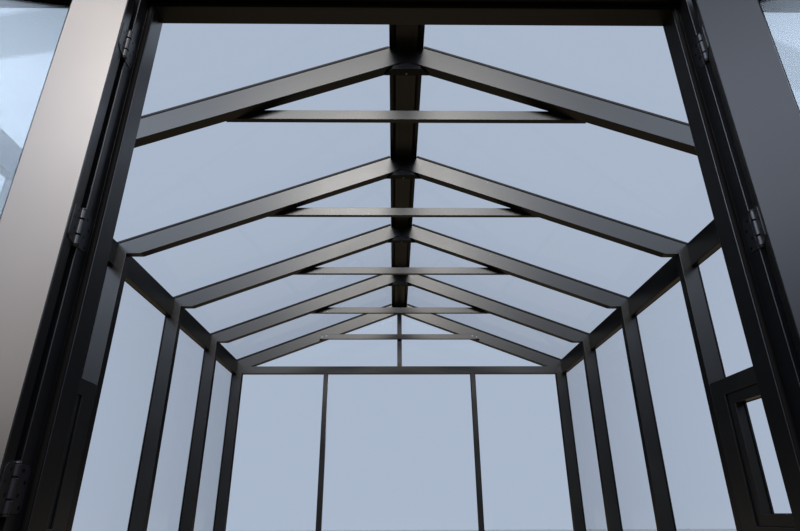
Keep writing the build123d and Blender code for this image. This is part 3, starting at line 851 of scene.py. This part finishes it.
@dataclass(frozen=True)
class RidgeEnds:
    """End plates that close the hollow under the ridge cap on both gables, cut to the slopes."""

    house: House
    plate: Plate = Plate(0.14, 0.075, 0.002, 0.006, 0.0008)
    clear: float = 0.005  # in front of the glazing
    top: float = 0.004  # above the rafters' upper faces
    screw: Pair = (0.004, 0.002)  # radius and height of the heads
    screw_drop: float = 0.014  # below the middle of the plate
    screw_spots: Triple = (-0.05, 0.0, 0.05)

    def build(self) -> None:
        """Make the plate of each gable and its three screws."""
        plates = Piece("ridge_end_plates", Body.HOUSE, FINISHES[Slot.FRAME])
        screws = Piece("ridge_end_screws", Body.HOUSE, Metal.STEEL.value)
        house = self.house
        length = house.bay * house.bays + house.frame
        front = house.glass_out + self.clear
        level = house.apex_top + self.top - self.plate.height / 2
        for y, facing in ((-front, -1), (length + front, 1)):
            plates.put(self.plate_shape(), stand((0, y, level), (0, facing, 0)))
            face = y + facing * self.plate.thick
            screws.put(screw_shape(*self.screw, SMALL_HEAD), *[
                stand((x, face, level - self.screw_drop), (0, facing, 0))
                for x in self.screw_spots
            ])
        plates.close()
        screws.close()

    def plate_shape(self) -> BMesh:
        """Make one plate, its top cut to both slopes.

        Returns:
            The shape, centred on its own origin.
        """
        shape = self.plate.shape()
        for side in (-1, 1):
            cut = bmesh.ops.bisect_plane(
                shape, geom=shape.verts[:] + shape.edges[:] + shape.faces[:],
                plane_co=(0, self.plate.height / 2, 0),
                plane_no=(side * self.house.slope, 1, 0), clear_outer=True,
            )
            rim = [e for e in cut["geom_cut"] if isinstance(e, BMEdge)]
            bmesh.ops.holes_fill(shape, edges=rim)
        return shape


@dataclass(frozen=True)
class WindowFittings:
    """Seals and closing handle of the two side windows."""

    middle: Pair = (1.33, 0.994)  # along the house, and height
    opening: Pair = (0.595, 0.581)  # outside of the sash's bulb seal
    light: Pair = (0.494, 0.480)  # daylight of the sash
    face: float = 1.556  # sash's inner face from the middle of the house
    pane: float = 1.599  # pane's inner face
    seal_width: float = 0.004
    bulb: float = 0.0035  # how far the sash's seal stands out
    wedge: float = 0.003  # how far the pane's seal stands out
    rail: float = 0.265  # bottom rail below the middle of the window
    rose: Plate = Plate(0.062, 0.026, 0.007, 0.011, 0.0015)
    neck: Outline = ((0.0, 0.0), (0.009, 0.0), (0.0075, 0.012), (0.0075, 0.026), (0.0, 0.026))
    blade: Plate = Plate(0.122, 0.02, 0.009, 0.0085, 0.0025)
    blade_out: float = 0.022  # blade's back from the sash
    blade_shift: float = 0.046  # blade's middle from the neck

    def build(self) -> None:
        """Make the seals and handles of both windows."""
        seals = Piece("window_seals", Body.HOUSE, FINISHES[Slot.RUBBER])
        handles = Piece("window_handles", Body.HOUSE, FINISHES[Slot.HINGE])
        for side in (-1, 1):
            self.seal(seals, side)
            self.handle(handles, side)
        seals.close()
        handles.close()

    def seal(self, seals: Piece, side: int) -> None:
        """Lay the bulb seal round the sash and the wedge seal round the pane.

        Args:
            seals: Piece to add to.
            side: 1 for the right wall, -1 for the left one.
        """
        for (width, height), out, depth in (
            (self.opening, self.face, self.bulb), (self.light, self.pane, self.wedge),
        ):
            seals.put(
                ring_shape(width, height, self.seal_width, depth),
                stand((side * out, *self.middle), (-side, 0, 0)),
            )

    def handle(self, handles: Piece, side: int) -> None:
        """Set the closing handle on the bottom rail: rose, neck and flat blade.

        Args:
            handles: Piece to add to.
            side: 1 for the right wall, -1 for the left one.
        """
        y, z = self.middle[0], self.middle[1] - self.rail
        seat = stand((side * self.face, y, z), (-side, 0, 0))
        handles.put(self.rose.shape(), seat)
        handles.put(turned_shape(self.neck), seat)
        out = side * (self.face - self.blade_out)
        handles.put(self.blade.shape(), stand((out, y - self.blade_shift, z), (-side, 0, 0)))


@dataclass(frozen=True)
class Leaf:
    """Where one door leaf stands, so that its fittings can be placed by its own measures.

    A place on the leaf is given by its distance along the leaf from the hinge axis, its depth from
    the axis towards the leaf's inner face, and its height.
    """

    body: Body
    side: int  # 1 for the right leaf, -1 for the left one
    open_by: float  # degrees
    hinge_node: str  # CAD piece with the leaf's own hinge halves
    axis: Pair = (0.7305, -0.014)
    start: float = 0.0025  # hinge edge
    end: float = 0.7275  # free edge
    low: float = 0.031
    high: float = 2.051
    outer_face: float = 0.008  # depth of the face that is outside when the door is shut
    inner_face: float = 0.050
    glass_low: Pair = (0.1125, 0.181)
    glass_high: Pair = (0.6175, 1.941)
    bead: float = 0.017

    def along(self) -> Vector:
        """Direction from the hinge edge to the free edge."""
        turn = math.radians(self.open_by)
        return Vector((-self.side * math.cos(turn), -math.sin(turn), 0))

    def inward(self) -> Vector:
        """Direction from the outer to the inner face."""
        turn = math.radians(self.open_by)
        return Vector((-self.side * math.sin(turn), math.cos(turn), 0))

    def spot(self, distance: float, depth: float, height: float) -> Vector:
        """Turn a place on the leaf into the CAD frame.

        Args:
            distance: Along the leaf from the hinge axis.
            depth: From the axis towards the inner face.
            height: Above the ground.

        Returns:
            The point.
        """
        hinge = Vector((self.side * self.axis[0], self.axis[1], height))
        return hinge + self.along() * distance + self.inward() * depth

    def faces(self) -> tuple[tuple[float, Vector], tuple[float, Vector]]:
        """Depth and outward direction of the outer and the inner face."""
        return (self.outer_face, -self.inward()), (self.inner_face, self.inward())


RIGHT_LEAF = Leaf(Body.RIGHT_LEAF, 1, 157.0, "hinge_halves_right")
LEFT_LEAF = Leaf(Body.LEFT_LEAF, -1, 170.0, "hinge_halves_left")


@dataclass(frozen=True)
class LeafSeals:
    """Wedge seals between the beads and the pane, on both faces of one leaf."""

    leaf: Leaf
    width: float = 0.004
    pane: Pair = (0.026, 0.032)  # depth of the pane's two faces
    stand_out: float = 0.012

    def build(self) -> None:
        """Make the two rings."""
        leaf = self.leaf
        seals = Piece(f"{leaf.body.value}_glazing_seals", leaf.body, FINISHES[Slot.RUBBER])
        low, high = leaf.glass_low, leaf.glass_high
        width, height = (high[k] - low[k] - 2 * leaf.bead for k in (0, 1))
        across, level = ((low[k] + high[k]) / 2 for k in (0, 1))
        for depth, (_, facing) in zip(self.pane, leaf.faces()):
            seals.put(
                ring_shape(width, height, self.width, self.stand_out),
                stand(leaf.spot(across, depth, level), facing),
            )
        seals.close()


@dataclass(frozen=True)
class Hinges:
    """Both rows of hinges in place of the plain CAD ones.

    Every hinge has two knuckles on the post, one on the leaf, a pin with domed caps, and on each
    half a screwed plate with its two far corners cut off.
    """

    house: House
    leaves: tuple[Leaf, ...]
    top: float = 1.842  # middle of the top hinge
    spacing: float = 0.519
    count: int = 4
    height: float = 0.082
    middle: float = 0.037  # middle knuckle with half of both gaps
    gap: float = 0.003
    radius: float = 0.008
    chamfer: float = 0.00096  # at the knuckles' ends
    pin: float = 0.0035
    play: float = 0.0001  # between pin and bore
    steps: int = 28  # round the knuckles and the pin
    thick: float = 0.002  # of the plates and tongues
    width: float = 0.032
    cut: float = 0.008
    arris: float = 0.0005
    screw: float = 0.0036
    proud: float = 0.0003  # screw heads above the plates, which nearly meet when shut
    spots: tuple[Pair, ...] = ((0.010, 0.031), (0.022, 0.011), (0.010, -0.011), (0.022, -0.031))
    cap_out: float = 0.001  # caps beyond the knuckles' ends
    cap: Outline = (
        (0.0, -0.002), (0.0055, -0.0012), (0.0074, 0.0002), (0.0074, 0.0018), (0.0062, 0.0036),
        (0.0038, 0.0048), (0.0, 0.0052),
    )

    def build(self) -> None:
        """Make the post halves of both doors as one piece, and each leaf's own halves."""
        posts = Piece("post_hinge_halves", Body.HOUSE, FINISHES[Slot.HINGE])
        screws = Piece("post_hinge_screws", Body.HOUSE, Metal.BLACK.value)
        for leaf in self.leaves:
            own = Piece(f"{leaf.body.value}_hinge_halves", leaf.body, FINISHES[Slot.HINGE])
            heads = Piece(f"{leaf.body.value}_hinge_screws", leaf.body, Metal.BLACK.value)
            for k in range(self.count):
                level = self.top - self.spacing * k
                self.post_half(posts, screws, leaf, level)
                self.leaf_half(own, heads, leaf, level)
            heads.close()
            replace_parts(own.close(), leaf.hinge_node)
        screws.close()
        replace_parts(posts.close(), "hinge_halves_on_posts")

    def knuckle(self, length: float) -> BMesh:
        """Make a knuckle bored for the pin, its ends chamfered.

        Args:
            length: Along its own Z, from its own origin.

        Returns:
            The shape.
        """
        out, bore, soft = self.radius, self.pin + self.play, self.chamfer
        outline = (
            (bore, 0.0), (out - soft, 0.0), (out, soft), (out, length - soft),
            (out - soft, length), (bore, length), (bore, 0.0),
        )
        return turned_shape(outline, self.steps)

    def tongue(self, reach: float, length: float) -> BMesh:
        """The strip from a knuckle to its plate."""
        return Plate(reach, length, self.thick, 0.0004, 0.0003).shape()

    def plate(self) -> BMesh:
        """The screwed plate, its own +X side cut at both corners."""
        return Plate(self.width, self.height, self.thick, self.cut, self.arris, cut=True).shape()

    def upright(self, leaf: Leaf, level: float, way: int = 1) -> Matrix:
        """A place on the hinge axis, facing up or down."""
        return stand(leaf.spot(0, 0, level), (0, 0, way), (0, 1, 0))

    def post_half(self, posts: Piece, screws: Piece, leaf: Leaf, level: float) -> None:
        """Add one post half: two knuckles with their tongues, pin, caps and screwed plate.

        Args:
            posts: Piece of the metal.
            screws: Piece of the screw heads.
            leaf: Whose hinge it is.
            level: Middle height of the hinge.
        """
        wall = leaf.side * self.house.reveal_half
        face = leaf.side * (self.house.reveal_half - self.thick)
        facing, up = (-leaf.side, 0, 0), (0, 0, -leaf.side)
        length = (self.height - self.middle - self.gap) / 2
        foot = level - self.height / 2
        for low in (foot, level + (self.middle + self.gap) / 2):
            posts.put(self.knuckle(length), self.upright(leaf, low))
            posts.put(
                self.tongue(-leaf.axis[1], length),
                stand((wall, leaf.axis[1] / 2, low + length / 2), facing, up),
            )
        pin = ((0.0, 0.0), (self.pin, 0.0), (self.pin, self.height), (0.0, self.height))
        posts.put(turned_shape(pin, self.steps), self.upright(leaf, foot))
        posts.put(turned_shape(self.cap), *[
            self.upright(leaf, level + way * (self.height / 2 + self.cap_out), way)
            for way in (-1, 1)
        ])
        posts.put(self.plate(), stand((wall, self.width / 2, level), facing, up))
        screws.put(screw_shape(self.screw, self.proud), *[
            stand((face, across, level + rise), facing) for across, rise in self.spots
        ])

    def leaf_half(self, own: Piece, heads: Piece, leaf: Leaf, level: float) -> None:
        """Add one leaf half: the middle knuckle, its tongue and the screwed plate.

        Args:
            own: Piece of the metal.
            heads: Piece of the screw heads.
            leaf: Whose hinge it is.
            level: Middle height of the hinge.
        """
        facing, up = -leaf.along(), (0, 0, leaf.side)
        length, near = self.middle - self.gap, leaf.outer_face
        own.put(self.knuckle(length), self.upright(leaf, level - length / 2))
        for shape, depth in (
            (self.tongue(near, length), near / 2), (self.plate(), near + self.width / 2),
        ):
            own.put(shape, stand(leaf.spot(leaf.start, depth, level), facing, up))
        face = leaf.start - self.thick
        heads.put(screw_shape(self.screw, self.proud), *[
            stand(leaf.spot(face, near + across, level + rise), facing)
            for across, rise in self.spots
        ])


@dataclass(frozen=True)
class LeverSet:
    """Lever handles of both faces: oval back plate, key cylinder, turned neck, swept lever."""

    leaf: Leaf
    back: float = 0.055  # from the leaf's free edge
    level: float = 1.02
    plate: Plate = Plate(0.034, 0.22, 0.008, 0.0102, 0.0022)
    neck_level: float = 1.075
    neck: float = 0.042
    neck_outline: Outline = (
        (0.0, 0.0), (0.0135, 0.0), (0.0130, 0.004), (0.0092, 0.006), (0.0088, 0.028),
        (0.0088, 0.041), (0.0, 0.042),
    )
    cylinder_level: float = 0.973
    cylinder: Outline = (
        (0.0, 0.0), (0.0115, 0.0), (0.0112, 0.0022), (0.0086, 0.0026), (0.0082, 0.0012),
        (0.0, 0.0010),
    )
    bar: float = 0.009
    length: float = 0.12
    flat: float = 0.86  # thickness of the lever by its height

    def build(self) -> None:
        """Make the sets of both faces in place of the plain CAD ones."""
        leaf = self.leaf
        steel = Piece("lever_handles", leaf.body, FINISHES[Slot.HANDLE])
        middle = leaf.end - self.back
        for (depth, facing), out in zip(leaf.faces(), (-1, 1)):
            steel.put(self.plate.shape(), stand(leaf.spot(middle, depth, self.level), facing))
            front = depth + out * self.plate.thick
            for outline, level in (
                (self.neck_outline, self.neck_level), (self.cylinder, self.cylinder_level),
            ):
                steel.put(turned_shape(outline), stand(leaf.spot(middle, front, level), facing))
            grip = leaf.spot(middle, front + out * (self.neck - self.bar), self.neck_level)
            steel.put(self.bar_shape(), stand(grip, -leaf.along()))
        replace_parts(steel.close(), "door_handles")

    def bar_shape(self) -> BMesh:
        """Make the lever: a round bar with a domed end, flattened a little, along its own Z.

        Returns:
            The shape.
        """
        bar, length = self.bar, self.length
        shape = turned_shape((
            (0.0, -bar), (bar * 0.55, -bar * 0.86), (bar * 0.9, -bar * 0.45), (bar, 0.0),
            (bar * 0.94, length * 0.5), (bar * 0.88, length - bar * 0.3),
            (bar * 0.62, length + bar * 0.5), (0.0, length + bar * 0.9),
        ))
        bmesh.ops.scale(shape, vec=(self.flat, 1.0, 1.0), verts=shape.verts)
        return shape


@dataclass(frozen=True)
class LockEdge:
    """What shows on the free edge of a leaf: lock face plate, its screws, and the latch where there
    is one.
    """

    leaf: Leaf
    level: float = 1.02
    plate: Plate = Plate(0.02, 0.24, 0.0012, 0.0095, 0.0004)
    screw: Pair = (0.0034, 0.0004)  # radius and height of the heads
    screw_reach: float = 0.105  # above and below the middle
    latch: Plate = Plate(0.012, 0.03, 0.0011, 0.002, 0.0006)
    latch_rise: float = 0.055  # above the middle
    latched: bool = False

    def build(self) -> None:
        """Make the plate of the leaf's free edge, with the latch if it has one."""
        leaf = self.leaf
        steel = Piece(f"{leaf.body.value}_lock_plate", leaf.body, Metal.STEEL.value)
        depth = (leaf.outer_face + leaf.inner_face) / 2
        face = leaf.end + self.plate.thick
        steel.put(self.plate.shape(), stand(leaf.spot(leaf.end, depth, self.level), leaf.along()))
        steel.put(screw_shape(*self.screw, SMALL_HEAD), *[
            stand(leaf.spot(face, depth, self.level + way * self.screw_reach), leaf.along())
            for way in (-1, 1)
        ])
        if self.latched:
            seat = leaf.spot(face, depth, self.level + self.latch_rise)
            steel.put(self.latch.shape(), stand(seat, leaf.along()))
        steel.close()


@dataclass(frozen=True)
class ShootBolts:
    """Shoot bolts that hold the passive leaf, let into its inner face at head and foot."""

    leaf: Leaf
    back: float = 0.03  # from the leaf's free edge
    end: float = 0.02  # from the leaf's head and foot
    base: Plate = Plate(0.022, 0.16, 0.0025, 0.004, 0.0008)
    slide: Outline = ((0.0, -0.075), (0.0045, -0.073), (0.0045, 0.073), (0.0, 0.075))
    slide_out: float = 0.0065  # middle of the slide in front of the leaf
    knob: Outline = ((0.0, 0.0), (0.004, 0.0), (0.0036, 0.005), (0.0052, 0.008), (0.0, 0.0095))
    knob_out: float = 0.0095  # foot of the knob in front of the leaf
    steps: int = 16

    def build(self) -> None:
        """Make both bolts: base plate, slide and thumb knob."""
        leaf, inward = self.leaf, self.leaf.inward()
        steel = Piece("shoot_bolts", leaf.body, Metal.STEEL.value)
        reach = self.end + self.base.height / 2
        for level in (leaf.low + reach, leaf.high - reach):
            seat = leaf.spot(leaf.end - self.back, leaf.inner_face, level)
            steel.put(self.base.shape(), stand(seat, inward))
            slide = turned_shape(self.slide, self.steps)
            steel.put(slide, stand(seat + inward * self.slide_out, (0, 0, 1), inward))
            knob = turned_shape(self.knob, self.steps)
            steel.put(knob, stand(seat + inward * self.knob_out, inward))
        steel.close()


# ---------------------------------------------------------------- studio


@dataclass(frozen=True)
class Softbox:
    """One soft light: where it hangs, what it faces, how large and how bright it is."""

    name: str
    place: Triple
    aim: Triple
    size: Pair
    radiance: float
    colour: str = "#eef2ff"
    only: tuple[str, ...] = ()  # CAD pieces that it is limited to
    never: tuple[str, ...] = ()  # CAD pieces that it leaves out

    def hang(self) -> None:
        """Put the light in the scene."""
        lamp = bpy.data.lights.new(self.name, "AREA")
        lamp.shape = "RECTANGLE"
        lamp.size, lamp.size_y = self.size
        lamp.energy = self.radiance * math.pi * self.size[0] * self.size[1]
        lamp.color = linear(self.colour)[:3]
        box = bpy.data.objects.new(self.name, lamp)
        bpy.context.scene.collection.objects.link(box)
        box.location = self.place
        away = Vector(self.place) - Vector(self.aim)
        box.rotation_euler = away.to_track_quat("Z", "Y").to_euler()
        box.visible_camera = False
        if self.only or self.never:
            self.aim_at_some(box)

    def aim_at_some(self, box: Object) -> None:
        """Limit the light to some of the CAD pieces, or keep it off them.

        Args:
            box: The light in the scene.
        """
        chosen = bpy.data.collections.new(self.name + "_pieces")
        for name in self.only or self.never:
            chosen.objects.link(frame["nodes"][name])
        box.light_linking.receiver_collection = chosen
        if self.never:
            for entry in chosen.collection_objects:
                entry.light_linking.link_state = "EXCLUDE"


BACK_PIECES = ("gable_caps", "back_mullions", "back_sill", "back_tie_beam", "king_posts")
WALL_PIECES = ("side_caps", "side_sill_left", "side_sill_right", "window_frames", "window_sashes")
OUTSIDE = (6.0, 4.0)  # size of the softboxes beside and behind the house

SOFTBOXES = (
    Softbox(
        "left_leaf_softbox", (-1.46, -2.45, 2.6), (-0.8, -0.08, 1.55), (0.9, 3.2), 7.6,
        colour="#fff3ec", only=("door_frame_left",),
    ),
    Softbox(
        "glow_softbox", (-0.3, -11.0, 9.6), (0.0, 1.5, 2.3), (6.0, 4.2), 26.5,
        colour="#fff5ec", never=("door_frame_right", "door_glass_right", "gable_glass"),
    ),
    Softbox("back_softbox", (3.5, 12.5, 4.6), (0.0, 4.4, 1.2), OUTSIDE, 4.5, only=BACK_PIECES),
    Softbox(
        "left_wall_softbox", (-9.5, 5.2, 4.0), (-1.6, 2.2, 1.1), OUTSIDE, 4.0, only=WALL_PIECES,
    ),
    Softbox("right_wall_softbox", (9.5, 5.2, 4.0), (1.6, 2.2, 1.1), OUTSIDE, 4.0, only=WALL_PIECES),
)


@dataclass(frozen=True)
class Sky:
    """The world: a plain pale backdrop for the camera, and a soft dome for what is mirrored.

    The dome's strength is blended step by step, each over a span of the direction's X, Y or Z, so
    that the rafters' faces mirror a bright sky behind the camera and the posts a dim one ahead.
    """

    backdrop: str = "#b7c2d7"
    dome: str = "#ccd6ea"
    ground: str = "#6e6252"  # what the undersides mirror
    ground_strength: float = 1.25
    # What a step makes, its axis and span, and the strength or earlier step below and above it
    steps: tuple[tuple[str, str, Pair, float | str, float | str], ...] = (
        ("ahead", "X", (-0.2, 0.3), 0.08, 1.7),
        ("ahead", "Z", (0.34, 0.6), 0.02, "ahead"),
        ("behind", "X", (-0.65, 0.0), 11.0, 5.6),
        ("behind", "Z", (0.19, 0.54), 0.0, "behind"),
        ("behind", "Z", (0.57, 0.71), "behind", 0.5),
        ("dome", "Y", (-0.5, 0.1), "behind", "ahead"),
        ("above_ground", "Z", (-0.02, 0.02), 0.0, 1.0),
    )

    def build(self) -> None:
        """Make the world's node tree."""
        world = bpy.data.worlds.new("studio_dome")
        bpy.context.scene.world = world
        world.use_nodes = True
        tree = world.node_tree
        way = add_node(tree, "ShaderNodeTexCoord").outputs["Generated"]
        axes = add_node(tree, "ShaderNodeSeparateXYZ", {"Vector": way}).outputs
        made = {}
        for name, axis, span, below, above in self.steps:
            made[name] = self.fade(
                tree, axes[axis], span, made.get(below, below), made.get(above, above),
            )
        dome = tree.nodes["Background"]
        dome.inputs["Color"].default_value = linear(self.dome)
        tree.links.new(made["dome"], dome.inputs["Strength"])
        ground = self.flat(tree, self.ground, self.ground_strength)
        whole = add_node(
            tree, "ShaderNodeMixShader",
            {0: made["above_ground"], 1: ground, 2: dome.outputs["Background"]},
        ).outputs["Shader"]
        seen = add_node(tree, "ShaderNodeLightPath").outputs["Is Camera Ray"]
        backdrop = self.flat(tree, self.backdrop, 1.0)
        mix = add_node(tree, "ShaderNodeMixShader", {0: seen, 1: whole, 2: backdrop})
        tree.links.new(mix.outputs["Shader"], tree.nodes["World Output"].inputs["Surface"])

    def flat(self, tree: NodeTree, code: str, strength: float) -> NodeSocket:
        """An even background of one colour and strength."""
        inputs = {"Color": linear(code), "Strength": strength}
        return add_node(tree, "ShaderNodeBackground", inputs=inputs).outputs["Background"]

    def fade(
        self, tree: NodeTree, along: NodeSocket, span: Pair,
        *ends: float | NodeSocket,
    ) -> NodeSocket:
        """Blend softly from one strength to another along one axis of the sky.

        Args:
            tree: Node tree of the world.
            along: The coordinate to go by.
            span: Where the blend starts and stops.
            ends: Strength below and above the span, or the socket that gives it.

        Returns:
            Socket with the blended strength.
        """
        share = add_node(
            tree, "ShaderNodeMapRange", {"Value": along}, interpolation_type="SMOOTHSTEP",
            inputs={"From Min": span[0], "From Max": span[1]},
        )
        blend = add_node(tree, "ShaderNodeMix", {"Factor": share.outputs["Result"]})
        for name, end in zip("AB", ends):
            if isinstance(end, float):
                blend.inputs[name].default_value = end
            else:
                tree.links.new(end, blend.inputs[name])
        return blend.outputs["Result"]


@dataclass(frozen=True)
class Studio:
    """Pale floor, soft light and the camera at the photograph's viewing angle."""

    eye: Triple = (-0.0568, -1.0773, 0.7612)
    pitch: float = 24.0  # degrees
    yaw: float = 0.682
    roll: float = 0.219
    focal_px: float = 557.3
    sensor_mm: float = 36.0
    sight: float = 200.0  # how far the camera sees
    floor_size: float = 60.0
    floor_drop: float = 0.001  # below the ground that the house stands on
    glass_layers: int = 32  # panes that a ray may pass

    def build(self) -> None:
        """Set up floor, light and camera."""
        self.floor()
        Sky().build()
        for light in SOFTBOXES:
            light.hang()
        self.camera()
        scene = bpy.context.scene
        scene.view_settings.view_transform = "Standard"
        scene.cycles.transparent_max_bounces = self.glass_layers

    def floor(self) -> None:
        """Lay a wide level floor at the ground, which nothing mirrors."""
        mesh = bmesh.new()
        bmesh.ops.create_grid(mesh, x_segments=1, y_segments=1, size=self.floor_size / 2)
        data = bpy.data.meshes.new("studio_floor")
        mesh.to_mesh(data)
        mesh.free()
        data.materials.append(StudioPaper().material())
        piece = bpy.data.objects.new("studio_floor", data)
        bpy.context.scene.collection.objects.link(piece)
        piece.location.z = -self.floor_drop
        piece.visible_glossy = False
        piece.visible_diffuse = False

    def camera(self) -> None:
        """Set the photograph's own viewpoint, a little outside the doorway, looking in and up."""
        lens = bpy.data.cameras.new("photo_view")
        lens.sensor_width = self.sensor_mm
        lens.lens = self.focal_px / IMAGE_SIZE[0] * lens.sensor_width
        lens.clip_end = self.sight
        eye = bpy.data.objects.new("photo_view", lens)
        bpy.context.scene.collection.objects.link(eye)
        pitch, yaw, roll = (math.radians(a) for a in (self.pitch, self.yaw, self.roll))
        ahead = Vector((math.sin(yaw), math.cos(yaw), 0))
        right = Vector((math.cos(yaw), -math.sin(yaw), 0))
        up = Vector((0, 0, 1))
        forward = math.cos(pitch) * ahead + math.sin(pitch) * up
        top = math.cos(pitch) * up - math.sin(pitch) * ahead
        image_right = math.cos(roll) * right - math.sin(roll) * top
        image_up = math.sin(roll) * right + math.cos(roll) * top
        turn = Matrix((image_right, image_up, -forward)).transposed().to_4x4()
        eye.matrix_world = Matrix.Translation(self.eye) @ turn
        bpy.context.scene.camera = eye


def dress_cad_pieces() -> None:
    """Give every CAD piece the finish of its slot, except the caps and apex plates, which get the
    darker matt coat with its painted shade.
    """
    for name, piece in frame["nodes"].items():
        for holder in piece.material_slots:
            slot = Slot(holder.material.name.split(".")[0])
            # caps and apex plates take the darker matt coat, whose colour is painted shade
            holder.material = SHADED_MATT_COAT if name in SHADED_MATT_PIECES else FINISHES[slot]
            log.info("%s: %s", name, holder.material.name)


def main() -> None:
    """Build the scene in order."""
    logging.basicConfig(level=logging.INFO, format="%(name)s %(message)s")
    dress_cad_pieces()
    house = House()
    for fittings in (
        FrameScrews(house), DoorStopSeals(house), CapScrews(house), RidgeEnds(house),
        ThresholdScrews(house), WindowFittings(), Hinges(house, (RIGHT_LEAF, LEFT_LEAF)),
        LeafSeals(RIGHT_LEAF), LockEdge(RIGHT_LEAF, latched=True), LeafSeals(LEFT_LEAF),
        LockEdge(LEFT_LEAF), LeverSet(RIGHT_LEAF), ShootBolts(LEFT_LEAF), Studio(),
    ):
        fittings.build()


if __name__ == "__main__":
    main()
